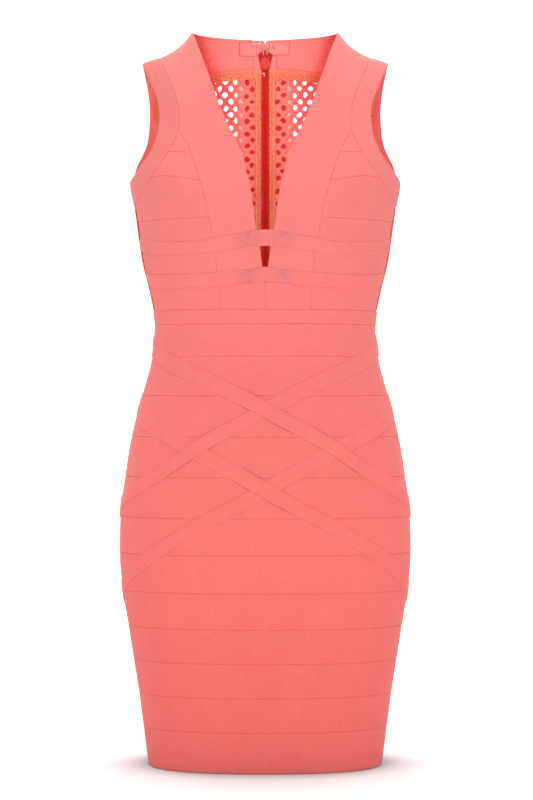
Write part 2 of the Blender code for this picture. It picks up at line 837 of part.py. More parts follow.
def tape_rows():
    """Rows of the left zip tape, from just under the neck tabs to the end of the zip."""
    levels = [yoke_level(TAPE_TOP_SHARE), YOKE_SEAM_HEIGHT, *BACK_LEVELS, *LOWER_LEVELS]
    levels += [seam for seam in SKIRT_SEAMS if seam >= ZIP_END]
    return [
        [back_spot(ZIP_TAPE_WIDTH, level), back_spot(ZIP_HALF_GAP, level)] for level in levels
    ]


def add_back():
    add_pair("back_yoke", yoke_rows(), KNIT)
    lattice = lattice_rows()
    add_pair("back_lattice", lattice, LATTICE, LATTICE_WALL)
    zip_band = [row[-ZIP_BAND_SPANS - 1 :] for row in lattice]
    add_pair("zip_band", zip_band, KNIT, STRAP_WALL, outer=LAYER_GAP + STRAP_WALL)
    add_pair("zip_tape", tape_rows(), TAPE, TAPE_WALL, outer=-WALL - LAYER_GAP)


def add_neck_tabs():
    for tab in TABS:
        middle = (tab.inner_across + tab.outer_across) / 2.0
        spots = []
        for level in (tab.top, (tab.top + tab.bottom) / 2.0, tab.bottom):
            places = (tab.outer_across, middle, tab.inner_across)
            spots.append([back_spot(across, level) for across in places])
        if tab.name.endswith("right"):
            spots = mirrored(spots)
        add_wall(tab.name, spots, KNIT, TAB_WALL, outer=-WALL - LAYER_GAP)


# ---------------------------------------------------------------- zip slider, pull and wires


def slider_place():
    """The slider's frame, in millimetres: on the straight run of cloth under the tabs."""
    rows = tape_rows()
    top = figure_point(180.0, rows[0][0][1])
    low = figure_point(180.0, rows[1][0][1])
    up = (top - low).normalized()
    out = Vector((0.0, up.z, -up.y))
    turn = Matrix((Vector((1.0, 0.0, 0.0)), out, up)).transposed()
    return Matrix.Translation((top + low) / 2.0) @ turn.to_4x4()


def slab(outline, low, high, axis):
    """A flat piece: an outline of (a, b) pairs, anticlockwise, thick along one axis."""
    points = []
    for level in (low, high):
        for a, b in outline:
            points.append(Vector((level, a, b)) if axis == "X" else Vector((a, level, b)))
    count = len(outline)
    faces = [tuple(range(count)), tuple(reversed(range(count, 2 * count)))]
    for k in range(count):
        ahead = (k + 1) % count
        faces.append((ahead, k, k + count, ahead + count))
    if axis == "X":
        faces = [tuple(reversed(face)) for face in faces]
    return points, faces


def arc(centre_a, centre_b, radius, start, end, steps):
    """Points of an arc, with its angles in degrees."""
    found = []
    for k in range(steps + 1):
        angle = math.radians(start + (end - start) * k / steps)
        found.append((centre_a + radius * math.cos(angle), centre_b + radius * math.sin(angle)))
    return found


def add_helper(name, points, faces, place):
    """A solid that a Boolean modifier reads; it isn't part of the dress."""
    made = add_object(name, points, faces, PAINT, place)
    made.hide_render = True
    made.display_type = "WIRE"
    return made


def add_boolean(piece, helper, operation):
    step = piece.modifiers.new(helper.name, "BOOLEAN")
    step.operation = operation
    step.object = helper


def add_slider():
    """A heart-shaped plate inside the back, with a lug that comes out through the zip."""
    place = slider_place()
    lobe = SLIDER_RISE + SLIDER_LENGTH / 2.0 - SLIDER_LOBE_RADIUS
    toe = SLIDER_RISE - SLIDER_LENGTH / 2.0 + SLIDER_TOE_RADIUS
    outline = arc(SLIDER_LOBE_ACROSS, lobe, SLIDER_LOBE_RADIUS, -20.0, 140.0, 7)
    outline += arc(-SLIDER_LOBE_ACROSS, lobe, SLIDER_LOBE_RADIUS, 40.0, 200.0, 7)
    outline += arc(0.0, toe, SLIDER_TOE_RADIUS, 205.0, 335.0, 6)
    face = -(WALL + LAYER_GAP + TAPE_WALL + SLIDER_GAP)
    slider = add_object("zip_slider", *slab(outline, face - SLIDER_PLATE, face, "Y"), PAINT, place)

    lug = [(face - SLIDER_PLATE / 2.0, PIVOT_UP - LUG_RADIUS)]
    lug += arc(PIVOT_OUT, PIVOT_UP, LUG_RADIUS, -90.0, 90.0, LUG_SIDES // 2)
    lug.append((face - SLIDER_PLATE / 2.0, PIVOT_UP + LUG_RADIUS))
    helper = add_helper("lug_body", *slab(lug, -LUG_HALF_WIDTH, LUG_HALF_WIDTH, "X"), place)
    add_boolean(slider, helper, "UNION")
    hole = arc(PIVOT_OUT, PIVOT_UP, PIVOT_HOLE_RADIUS, 0.0, 360.0 - 360.0 / LUG_SIDES, LUG_SIDES - 1)
    cutter = add_helper("lug_hole", *slab(hole, -2 * LUG_HALF_WIDTH, 2 * LUG_HALF_WIDTH, "X"), place)
    add_boolean(slider, cutter, "DIFFERENCE")


def add_pull():
    """The pull tab. Its origin is on the pivot, and its top bar goes through the lug."""
    place = slider_place() @ Matrix.Translation((0.0, PIVOT_OUT, PIVOT_UP))
    bar = PULL_BAR / 2.0
    end = -PULL_LENGTH + bar + PULL_END_RADIUS
    outline = [(PULL_TOP_HALF_WIDTH, bar), (-PULL_TOP_HALF_WIDTH, bar)]
    outline += arc(0.0, end, PULL_END_RADIUS, 175.0, 365.0, 12)
    half = PULL_THICKNESS / 2.0
    pull = add_object("zip_pull", *slab(outline, -half, half, "Y"), PAINT, place)
    window = [
        (WINDOW_HALF_WIDTH, -bar),
        (-WINDOW_HALF_WIDTH, -bar),
        (-WINDOW_HALF_WIDTH, -bar - WINDOW_LENGTH),
        (WINDOW_HALF_WIDTH, -bar - WINDOW_LENGTH),
    ]
    cutter = add_helper("pull_window", *slab(window, -2 * half, 2 * half, "Y"), place)
    add_boolean(pull, cutter, "DIFFERENCE")


def add_wire(name, rows):
    """A bent wire on the inner face of a neck tab."""
    line = bpy.data.curves.new(name, "CURVE")
    line.dimensions = "3D"
    line.bevel_depth = WIRE_RADIUS * METRE
    line.bevel_resolution = 1
    line.use_fill_caps = True
    run = line.splines.new("POLY")
    run.points.add(len(rows) - 1)
    base = WALL + LAYER_GAP + TAB_WALL + SEAM_GAP + WIRE_RADIUS
    for knot, row in zip(run.points, rows):
        spot = back_spot(row.across, row.height)
        point = figure_point(*spot) - outward(*spot) * (base + row.inwards)
        knot.co = (*(point * METRE), 1.0)
    line.materials.append(make_material(STEEL))
    bpy.context.scene.collection.objects.link(bpy.data.objects.new(name, line))


add_skirt()
add_v_panels()
add_bust_pieces()
add_armhole_bands()
add_bust_strap("upper_bust_strap", UPPER_STRAP)
add_bust_strap("lower_bust_strap", LOWER_STRAP)
add_hip_straps()
add_back()
add_neck_tabs()
add_slider()
add_pull()
add_wire("hook_wire", HOOK_WIRE)
add_wire("eye_wire", EYE_WIRE)
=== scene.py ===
# %% [markdown]
# # A fitted dress of bandage knit
#
# The dress is sewn from level strips of heavy, stretchy knit, so it holds the figure's shape
# on its own. It has a deep V neck, two straps over the bust, four crossed straps over the
# hips, and an open lattice back with a zip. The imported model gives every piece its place.
# Here each piece gets its real cloth: rounded edges, overlapped seams, knit and stitches.

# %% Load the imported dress
import math
from collections import namedtuple

import bpy
import numpy as np
from mathutils import Matrix, Vector


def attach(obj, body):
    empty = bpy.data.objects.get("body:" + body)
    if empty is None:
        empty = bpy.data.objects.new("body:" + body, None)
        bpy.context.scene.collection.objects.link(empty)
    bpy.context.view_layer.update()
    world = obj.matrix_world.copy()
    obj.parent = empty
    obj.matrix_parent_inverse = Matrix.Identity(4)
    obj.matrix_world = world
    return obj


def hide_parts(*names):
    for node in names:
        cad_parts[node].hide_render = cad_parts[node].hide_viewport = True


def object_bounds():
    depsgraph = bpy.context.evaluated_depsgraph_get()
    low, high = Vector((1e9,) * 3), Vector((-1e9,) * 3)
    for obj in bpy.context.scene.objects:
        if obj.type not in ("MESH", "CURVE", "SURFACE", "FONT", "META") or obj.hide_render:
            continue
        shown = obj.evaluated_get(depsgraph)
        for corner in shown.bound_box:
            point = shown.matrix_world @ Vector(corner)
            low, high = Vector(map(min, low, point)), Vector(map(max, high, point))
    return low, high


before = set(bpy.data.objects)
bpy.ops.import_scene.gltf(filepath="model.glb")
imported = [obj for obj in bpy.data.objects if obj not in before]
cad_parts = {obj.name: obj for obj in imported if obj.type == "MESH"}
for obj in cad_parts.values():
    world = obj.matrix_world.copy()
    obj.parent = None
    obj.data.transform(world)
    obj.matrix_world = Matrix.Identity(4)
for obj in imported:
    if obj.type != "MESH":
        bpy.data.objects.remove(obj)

cad_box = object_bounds()
print("packed size in metres:", [round(b - a, 4) for a, b in zip(*cad_box)])

# %% [markdown]
# ## The sizes of the cut
#
# Lengths in the tables are in millimetres, and MM turns them into metres when a mesh is
# made. A place on the cloth is a spot: a turn in degrees from the centre front, positive
# towards the wearer's left, and a height. The tables are the pattern of the dress: the
# figure it was cut for, the shoulder line, and the edges of each piece.

# %% Tables of the figure and of the pattern
MM = 0.001


def table(columns, *rows):
    """Rows of numbers whose columns are named."""
    kind = namedtuple("Row", columns)
    return [kind(*row) for row in rows]


def column(rows, wanted):
    return [getattr(row, wanted) for row in rows]


def walk(points):
    """How far along a line each of its points is."""
    steps = np.linalg.norm(np.diff(points, axis=0), axis=1)
    return np.concatenate([[0.0], np.cumsum(steps)])


NECK_ACROSS = 85.2
SHOULDER_SEAM_ACROSS = 122.3
ZIP_HALF_GAP = 0.85
ZIP_BAND_WIDTH = 34.0
SIDE_SEAM_TURN = 77.0
SHOULDER_SEAM_HEIGHT = -30.0
SHOULDER_LEVEL = -40.0
UNDERARM_LEVEL = -175.0
WAIST_TOP = -327.0
HIP_LEVEL = -564.0
SKIRT_SEAMS = (-343, -380, -425, -472, -518, -564, -606, -649, -690, -729, -768, -807, -853)
ZIP_END = -518.0
CUP_RISE = 9.0
CUP_ACROSS = 76.0
CUP_HEIGHT = -226.0
CUP_SPREAD_ACROSS = 42.0
CUP_SPREAD_HEIGHT = 48.0

FIGURE = table(
    "down half_width front back square",
    (0.0, 150.0, 0.0, 0.0, 2.2),
    (3.0, 150.0, 13.0, 14.0, 2.2),
    (12.0, 150.0, 26.0, 29.0, 2.2),
    (30.0, 150.0, 40.0, 45.0, 2.2),
    (50.0, 150.0, 51.0, 57.0, 2.2),
    (75.0, 150.0, 63.0, 69.0, 2.2),
    (105.0, 152.0, 76.0, 80.0, 2.2),
    (138.0, 155.0, 90.0, 90.0, 2.2),
    (175.0, 158.0, 103.0, 97.0, 2.2),
    (208.0, 152.5, 110.0, 99.0, 2.2),
    (240.0, 148.0, 112.0, 97.0, 2.2),
    (270.0, 143.5, 107.0, 92.0, 2.2),
    (300.0, 136.0, 97.0, 87.0, 2.25),
    (327.0, 130.6, 88.0, 85.0, 2.3),
    (343.0, 129.0, 85.0, 85.0, 2.3),
    (380.0, 132.0, 86.0, 93.0, 2.35),
    (425.0, 143.3, 93.0, 107.0, 2.4),
    (472.0, 155.5, 100.0, 117.0, 2.45),
    (518.0, 163.0, 105.0, 122.0, 2.5),
    (564.0, 168.7, 107.0, 121.0, 2.5),
    (606.0, 169.6, 107.0, 117.0, 2.5),
    (649.0, 166.0, 106.0, 112.0, 2.5),
    (690.0, 159.6, 104.0, 109.0, 2.5),
    (729.0, 153.4, 102.5, 107.0, 2.5),
    (768.0, 147.1, 101.5, 106.0, 2.5),
    (807.0, 142.0, 100.5, 105.0, 2.5),
    (853.0, 136.0, 100.0, 104.0, 2.5),
)
SHOULDER = table(
    "across height",
    (0.0, 45.0),
    (40.0, 34.0),
    (70.0, 15.0),
    (NECK_ACROSS, 0.0),
    (93.0, -10.0),
    (101.0, -17.5),
    (113.0, -25.5),
    (SHOULDER_SEAM_ACROSS, SHOULDER_SEAM_HEIGHT),
    (144.0, -37.0),
    (160.0, -41.0),
)
V_PANEL = table(
    "neck_across neck_height seam_across seam_height",
    (NECK_ACROSS, 0.0, SHOULDER_SEAM_ACROSS, SHOULDER_SEAM_HEIGHT),
    (84.0, -4.0, 120.8, -34.5),
    (79.5, -16.0, 116.4, -46.8),
    (70.5, -41.0, 106.5, -70.9),
    (61.5, -67.0, 100.7, -89.5),
    (53.5, -90.0, 97.7, -106.6),
    (45.5, -109.0, 98.0, -121.0),
    (38.0, -126.0, 91.5, -133.3),
    (29.5, -143.0, 84.4, -147.8),
    (24.0, -160.0, 79.7, -162.0),
    (18.9, -181.0, 73.8, -181.0),
    (16.0, -195.0, 70.0, -195.0),
    (14.9, -202.0, 68.2, -202.0),
    (13.8, -209.0, 66.5, -209.0),
    (12.0, -224.0, 63.5, -224.0),
    (8.9, -246.0, 59.4, -246.0),
    (5.5, -263.0, 56.3, -263.0),
    (2.4, -284.0, 54.5, -284.0),
    (0.0, -297.0, 52.6, -297.0),
    (0.0, WAIST_TOP, 51.4, WAIST_TOP),
)
GUSSET_ROW, INSET_ROW, CUP_ROW, BUST_ROW, CLOSED_ROW = 6, 8, 10, 14, 18
BAND_COLUMNS = "edge_across edge_height seam_across seam_height"
BAND_FRONT = table(
    BAND_COLUMNS,
    (144.0, -37.0, SHOULDER_SEAM_ACROSS, SHOULDER_SEAM_HEIGHT),
    (142.0, -41.5, 120.8, -34.5),
    (137.5, -52.0, 116.4, -46.8),
    (128.5, -73.5, 106.5, -70.9),
    (123.3, -90.0, 100.7, -89.5),
    (122.0, -105.0, 97.7, -106.6),
    (123.3, -118.0, 99.4, -121.0),
    (124.4, -125.0, 102.0, -129.0),
    (129.6, -138.0, 110.6, -145.8),
    (134.0, -146.0, 117.5, -156.0),
    (144.5, -160.5, 130.6, -175.0),
    (151.5, -169.5, 141.5, -191.0),
    (155.2, -173.3, 149.0, -200.5),
)
BAND_UNDERARM = table(
    "edge_turn edge_height seam_turn seam_height",
    (84.0, -175.6, 79.0, -203.6),
    (98.0, -174.2, 99.0, -204.0),
)
BAND_BACK = table(
    BAND_COLUMNS,
    (155.4, -170.0, 146.0, -195.0),
    (151.6, -154.5, 138.0, -178.0),
    (145.9, -141.5, 129.0, -159.0),
    (140.6, -128.0, 121.0, -140.0),
    (138.0, -114.0, 116.0, -121.0),
    (136.8, -99.0, 113.5, -102.0),
    (136.8, -83.0, 114.0, -82.0),
    (139.0, -63.5, 116.0, -62.0),
    (141.6, -49.5, 119.0, -45.0),
    (143.2, -41.0, 121.0, -35.5),
)
YOKE_TOP_HEIGHT = -1.5
YOKE_SEAM_HEIGHT = -40.0
YOKE_SEAM_DIP = 22.0
YOKE_CORNER_ACROSS = 116.0
STRAP_COLUMNS = "across top bottom"
UPPER_STRAP = table(
    STRAP_COLUMNS,
    (0.0, -238.0, -256.4),
    (12.0, -238.6, -256.6),
    (33.0, -242.5, -259.4),
    (56.0, -246.3, -262.0),
    (85.0, -250.5, -265.0),
    (119.0, -249.0, -264.2),
    (147.0, -242.0, -257.0),
)
LOWER_STRAP = table(
    STRAP_COLUMNS,
    (0.0, -279.6, -295.3),
    (26.0, -282.5, -298.7),
    (55.0, -284.8, -301.2),
    (85.0, -286.5, -302.2),
    (120.0, -286.0, -301.6),
    (141.0, -281.0, -297.0),
)
DIAGONAL_COLUMNS = "share height"
UPPER_DIAGONAL = table(
    DIAGONAL_COLUMNS,
    (-1.0, -363.5),
    (-0.6, -390.5),
    (-0.35, -409.0),
    (0.0, -441.0),
    (0.3, -475.0),
    (0.6, -518.0),
    (1.0, -558.0),
)
LOWER_DIAGONAL = table(
    DIAGONAL_COLUMNS,
    (-1.0, -431.0),
    (-0.5, -475.5),
    (-0.2, -507.5),
    (0.1, -544.5),
    (0.4, -581.5),
    (0.7, -622.0),
    (1.0, -658.0),
)
DIAGONAL_HEIGHT = 20.0
CROSSING_FROM, CROSSING_RAMP = 21.0, 19.0
print("strips in the skirt:", len(SKIRT_SEAMS) - 1, "- rows in the V panel:", len(V_PANEL))

# %% [markdown]
# ## The figure as a surface
#
# The whole dress lies on one smooth surface, so it is worked out once, as a function: give
# it a turn and a height, and it gives the point. Monotone cubic curves pass through the
# table's rows without overshooting, which keeps the sides of the dress free of ripples.
# numpy reads many spots at once, because a fine cloth mesh has tens of thousands.


# %% Curves through a table
def smooth_curve(knots, values):
    """A function that follows a monotone cubic through the knots, and its end slopes beyond."""
    x = np.asarray(knots, float)
    y = np.asarray(values, float)
    step = np.diff(x)
    rise = np.diff(y) / step
    slope = np.zeros(len(x))
    slope[0], slope[-1] = rise[0], rise[-1]
    for k in range(1, len(x) - 1):
        if rise[k - 1] * rise[k] > 0:
            near = 2 * step[k] + step[k - 1]
            far = step[k] + 2 * step[k - 1]
            slope[k] = (near + far) / (near / rise[k - 1] + far / rise[k])

    def read(at):
        at = np.asarray(at, float)
        inside = np.clip(at, x[0], x[-1])
        k = np.clip(np.searchsorted(x, inside) - 1, 0, len(step) - 1)
        t = (inside - x[k]) / step[k]
        start = (1 + 2 * t) * (1 - t) ** 2 * y[k] + t * (1 - t) ** 2 * step[k] * slope[k]
        end = t * t * (3 - 2 * t) * y[k + 1] + t * t * (t - 1) * step[k] * slope[k + 1]
        beyond = np.where(at < x[0], slope[0], slope[-1]) * (at - inside)
        return start + end + beyond

    return read


def smooth_step(value):
    """0 below 0, 1 above 1, and a soft S between."""
    t = np.clip(value, 0.0, 1.0)
    return t * t * (3 - 2 * t)


# %% The figure
DOWN = np.array(column(FIGURE, "down"))
half_width_down = smooth_curve(DOWN, column(FIGURE, "half_width"))
squareness_down = smooth_curve(DOWN, column(FIGURE, "square"))
front_by_root = smooth_curve(np.sqrt(DOWN), column(FIGURE, "front"))
back_by_root = smooth_curve(np.sqrt(DOWN), column(FIGURE, "back"))
shoulder_height = smooth_curve(column(SHOULDER, "across"), column(SHOULDER, "height"))


def drop_below_shoulder(across, height):
    """How far down from the shoulder line, which no longer counts below the underarm."""
    share = smooth_step((height - UNDERARM_LEVEL) / (SHOULDER_LEVEL - UNDERARM_LEVEL))
    return np.maximum(shoulder_height(np.abs(across)) * share - height, 0.0)


def figure(turn, height):
    """Points of the cloth's outer face, in millimetres, as an array with x, y, z last."""
    turn = np.mod(np.asarray(turn, float) + 180.0, 360.0) - 180.0
    height = np.asarray(height, float)
    front = np.abs(turn) <= 90.0
    swing = np.radians(np.where(front, np.abs(turn), 180.0 - np.abs(turn)))
    power = 2.0 / squareness_down(-height)
    across = half_width_down(-height) * np.abs(np.sin(swing)) ** power
    flat = np.abs(np.cos(swing)) ** power
    root = np.sqrt(drop_below_shoulder(across, height))
    depth = np.where(front, front_by_root(root), back_by_root(root)) * flat
    aside = (across - CUP_ACROSS) / CUP_SPREAD_ACROSS
    above = (height - CUP_HEIGHT) / CUP_SPREAD_HEIGHT
    depth = depth + np.where(front, CUP_RISE * np.exp(-aside**2 - above**2) * flat, 0.0)
    y = np.where(front, -depth, depth)
    return np.stack([np.copysign(across, turn), y, height + 0.0 * turn], axis=-1)


def turn_at(across, height, back=False):
    """The turn at which the ring of this height is this far across."""
    share = np.minimum(np.abs(across) / half_width_down(-np.asarray(height, float)), 1.0)
    swing = np.degrees(np.arcsin(share ** (squareness_down(-height) / 2.0)))
    return np.copysign(180.0 - swing if back else swing, across)


def unit(vectors):
    return vectors / np.maximum(np.linalg.norm(vectors, axis=-1, keepdims=True), 1e-9)


def outward(turn, height):
    """The cloth's outward direction, which points up along the shoulder line."""
    here = figure(turn, height)
    drop = drop_below_shoulder(here[..., 0], height)
    step = np.clip(0.3 * drop, 0.02, 2.0)
    around = figure(turn + 0.6, height) - figure(turn - 0.6, height)
    up = figure(turn, height + step) - figure(turn, height - step)
    across = np.abs(here[..., 0])
    rise = (shoulder_height(across + 1.0) - shoulder_height(across - 1.0)) / 2.0
    zero = np.zeros_like(across)
    ridge = unit(np.stack([np.copysign(-rise, here[..., 0]), zero, zero + 1.0], axis=-1))
    near = smooth_step(drop / 0.6)[..., None]
    return unit(unit(np.cross(around, up)) * near + ridge * (1.0 - near))


FINE = np.linspace(-180.0, 180.0, 1441)
ring = figure(FINE, np.full_like(FINE, HIP_LEVEL))
walked = walk(ring)
print("girth at the hips:", round(walked[-1]), "mm")


def even_turn(share):
    """The turn at an even share of the way round, from -1 and 1 at the centre back."""
    return np.interp(share, walked / walked[-1] * 2.0 - 1.0, FINE)


# %% [markdown]
# ## Soft creases
#
# The knit is firm, so it creases little: shallow troughs where the waist bends, light drag
# lines at the armholes and above the seat, and small puckers along the zip. Each is listed
# as a long soft hollow or ridge, with its own length, width and depth, and all the
# layers of cloth follow the same ones.

# %% Creases placed one by one
DEGREE_MM = 2.5
CREASES = table(
    "turn height lean half_length half_width depth",
    (-78.0, -338.0, 8.0, 34.0, 6.0, -0.9),
    (-64.0, -352.0, -6.0, 46.0, 7.5, 0.7),
    (-86.0, -371.0, 14.0, 30.0, 6.0, -0.8),
    (74.0, -334.0, -10.0, 38.0, 6.5, -0.8),
    (82.0, -357.0, 4.0, 42.0, 7.0, -1.0),
    (61.0, -376.0, -12.0, 36.0, 8.0, 0.6),
    (-58.0, -150.0, 52.0, 30.0, 6.0, -0.7),
    (56.0, -152.0, -50.0, 34.0, 6.5, -0.8),
    (-66.0, -212.0, 18.0, 28.0, 6.0, -0.6),
    (68.0, -209.0, -20.0, 26.0, 5.5, -0.7),
    (-22.0, -600.0, 78.0, 60.0, 12.0, -0.5),
    (31.0, -640.0, -70.0, 74.0, 13.0, -0.6),
    (-48.0, -718.0, 82.0, 66.0, 12.0, 0.6),
    (52.0, -742.0, -84.0, 58.0, 11.0, -0.6),
    (6.0, -771.0, 86.0, 48.0, 12.0, 0.4),
    (-96.0, -640.0, 84.0, 70.0, 12.0, -0.8),
    (98.0, -664.0, -80.0, 64.0, 12.0, -0.7),
    (-158.0, -352.0, 5.0, 44.0, 7.0, -1.1),
    (152.0, -361.0, -8.0, 50.0, 7.5, -1.2),
    (-141.0, -389.0, 12.0, 40.0, 8.0, 0.9),
    (146.0, -402.0, -14.0, 38.0, 8.0, 0.8),
    (-171.0, -536.0, 30.0, 28.0, 6.0, -1.0),
    (170.0, -540.0, -34.0, 32.0, 6.0, -1.1),
    (-150.0, -606.0, 62.0, 56.0, 11.0, -0.8),
    (139.0, -633.0, -66.0, 62.0, 12.0, -0.9),
    (176.0, -742.0, 84.0, 56.0, 11.0, 0.7),
)


def creased(turn, height):
    """How far the creases push the cloth out, in millimetres."""
    push = np.zeros(np.broadcast(turn, height).shape)
    for crease in CREASES:
        aside = np.mod(turn - crease.turn + 180.0, 360.0) - 180.0
        aside = aside * DEGREE_MM
        above = height - crease.height
        lean = math.radians(crease.lean)
        along = aside * math.cos(lean) + above * math.sin(lean)
        across = above * math.cos(lean) - aside * math.sin(lean)
        bow = 0.12 * along**2 / crease.half_length
        inside = np.clip(1.0 - (along / crease.half_length) ** 2, 0.0, 1.0) ** 2
        push += crease.depth * inside * np.exp(-(((across - bow) / crease.half_width) ** 2))
    return push


print("creases:", len(CREASES))

# %% [markdown]
# ## Pieces cut from the surface
#
# A piece is bounded by four edges, each a line of spots. Blending the four edges, as Coons
# showed, fills the piece with spots, and the figure turns them into points. An edge says
# how it is sewn, because that is what the eye reads as a seam:
#
# - lap: it lies over the next piece, with a proud rounded lip,
# - tuck: it dives under the next piece and goes on for a few millimetres,
# - fold: a free edge, turned under and rounded on both faces,
# - flat: a strap's edge, rounded on its outer face and pressed onto the cloth below,
# - soft: the same, but it slopes so gently that it hardly shows,
# - butt: it meets its neighbour in a fine groove.


# %% Edges and patches
class Edge:
    """A line on the figure through given spots, read by its share of length."""

    def __init__(self, spots):
        turns, heights = (np.array(c, float) for c in zip(*spots))
        steps = np.linalg.norm(np.diff(figure(turns, heights), axis=0), axis=1)
        self.shares = np.concatenate([[0.0], np.cumsum(steps)]) / steps.sum()
        self.turn = smooth_curve(self.shares, turns)
        self.height = smooth_curve(self.shares, heights)

    def __call__(self, share):
        return np.stack([self.turn(share), self.height(share)], axis=-1)


def patch(left, right, top=None, bottom=None):
    """A function of (across share, down share) that fills four edges with spots."""
    corners = [left(0.0), right(0.0), left(1.0), right(1.0)]
    top = top or Edge([corners[0], corners[1]])
    bottom = bottom or Edge([corners[2], corners[3]])

    def spots(u, v):
        a, b = u[..., None], v[..., None]
        sides = (1 - a) * left(v) + a * right(v) + (1 - b) * top(u) + b * bottom(u)
        upper = (1 - a) * corners[0] + a * corners[1]
        lower = (1 - a) * corners[2] + a * corners[3]
        found = sides - (1 - b) * upper - b * lower
        return found[..., 0], found[..., 1]

    return spots


def mirror(spots):
    """The same patch on the wearer's right, its columns still running towards the left."""

    def turned(u, v):
        turn, height = spots(1.0 - u, v)
        return -turn, height

    return turned


def front_spot(across, height):
    return (float(turn_at(across, height)), height)


def back_spot(across, height):
    return (float(turn_at(across, height, back=True)), height)


# %% [markdown]
# ## From a patch to a cloth shell
#
# A shell has an outer and an inner face and a rim. Extra grid lines crowd near each edge,
# so that the lip or the fold is really round and catches the light. One function makes all
# the knit pieces, and only their edges and patches differ.

# %% The shell maker
WALL = 1.3
LAP_RISE = 0.3
TUCK_DEPTH = 1.6
TUCK_REACH = 3.4
ROUND = {"lap": (0.62, 0.62), "fold": (0.46, 0.46), "flat": (0.8, 0.8), "soft": (0.92, 2.7),
         "butt": (0.3, 0.3)}
EDGE_LINES = (0.0, 0.2, 0.5, 1.0, 2.0, 4.0)
TUCK_LINES = (-TUCK_REACH, -1.2)
GRID_MM = 4.5


def weight_of(parts, kind, share):
    """How much of an edge is of one kind, at each share of its length."""
    total = np.zeros_like(share)
    for name, start, stop in parts:
        if name == kind:
            begin = 1.0 if start <= 0.0 else smooth_step((share - start) / 0.02 + 0.5)
            end = 1.0 if stop >= 1.0 else smooth_step((stop - share) / 0.02 + 0.5)
            total = total + begin * end
    return np.clip(total, 0.0, 1.0)


def edge_parts(edges, side):
    """An edge is one kind all along, or a list of (kind, start, stop) stretches."""
    found = edges.get(side, "butt")
    return [(found, 0.0, 1.0)] if isinstance(found, str) else found


def grid_lines(spans, near_tucks, far_tucks):
    """Each line of the grid, as (side it is measured from, distance or share)."""
    near = (TUCK_LINES if near_tucks else ()) + EDGE_LINES
    far = (TUCK_LINES if far_tucks else ()) + EDGE_LINES
    lines = [("near", d) for d in near]
    lines += [("middle", k / spans) for k in range(1, spans)]
    return lines + [("far", d) for d in reversed(far)]


def line_shares(lines, length, near_tuck, far_tuck):
    """The share along the grid of every line, for an array of row lengths."""
    squeeze = np.minimum(1.0, 0.42 * length / EDGE_LINES[-1])
    inner = EDGE_LINES[-1] * squeeze
    shares = []
    for kind, value in lines:
        if kind == "middle":
            shares.append((inner + value * (length - 2 * inner)) / length)
            continue
        tuck = near_tuck if kind == "near" else far_tuck
        distance = value * (np.maximum(tuck, 0.03) if value < 0 else squeeze)
        shares.append(distance / length if kind == "near" else 1.0 - distance / length)
    return np.stack(shares, axis=0)


def edge_offsets(parts, share, distance, wall):
    """What an edge adds to the outer and to the inner face, at a distance from it."""
    outer = np.zeros_like(distance)
    inner = np.zeros_like(distance)
    lap = weight_of(parts, "lap", share)
    tuck = weight_of(parts, "tuck", share)
    outer += lap * LAP_RISE * np.exp(-((np.maximum(distance, 0.0) / 5.5) ** 2))
    outer -= tuck * TUCK_DEPTH * (1.0 - smooth_step((distance + 1.9) / 3.0))
    inner += outer
    for kind, (deep, broad) in ROUND.items():
        near = np.clip(1.0 - np.maximum(distance, 0.0) / (broad * wall), 0.0, 1.0)
        fall = deep * wall * (1.0 - np.sqrt(1.0 - near**2)) * weight_of(parts, kind, share)
        outer -= fall
        if kind == "fold":
            inner += fall
    return outer, inner


def shell_faces(rows, columns, closed):
    """Quads of the outer grid, the inner grid and the rims, as an array of corners."""
    at = np.arange(rows * columns).reshape(rows, columns)
    if closed:
        at = np.concatenate([at, at[:, :1]], axis=1)
    inner = rows * columns
    a, b, c, d = at[:-1, :-1], at[1:, :-1], at[1:, 1:], at[:-1, 1:]
    outer_quads = np.stack([a, b, c, d], axis=-1).reshape(-1, 4)
    inner_quads = np.stack([d, c, b, a], axis=-1).reshape(-1, 4) + inner
    rims = [
        np.stack([at[0, :-1], at[0, 1:], at[0, 1:] + inner, at[0, :-1] + inner], axis=-1),
        np.stack([at[-1, 1:], at[-1, :-1], at[-1, :-1] + inner, at[-1, 1:] + inner], axis=-1),
    ]
    if not closed:
        rims += [
            np.stack([at[1:, 0], at[:-1, 0], at[:-1, 0] + inner, at[1:, 0] + inner], axis=-1),
            np.stack([at[:-1, -1], at[1:, -1], at[1:, -1] + inner, at[:-1, -1] + inner], axis=-1),
        ]
    return np.concatenate([outer_quads, inner_quads, *rims])


def link_mesh(name, mesh):
    made = bpy.data.objects.new(name, mesh)
    bpy.context.scene.collection.objects.link(made)
    return made


def add_mesh(name, points, faces, materials):
    """A mesh object in the scene, its points given in millimetres."""
    mesh = bpy.data.meshes.new(name)
    mesh.from_pydata((np.asarray(points) * MM).tolist(), [], np.asarray(faces).tolist())
    for material in materials:
        mesh.materials.append(material)
    mesh.shade_smooth()
    return link_mesh(name, mesh)


def fill(layer, field, values):
    layer.data.foreach_set(field, np.ascontiguousarray(values, np.float32).ravel())


def set_uv(mesh, corner_uv):
    fill(mesh.uv_layers.new(name="cut"), "uv", corner_uv)


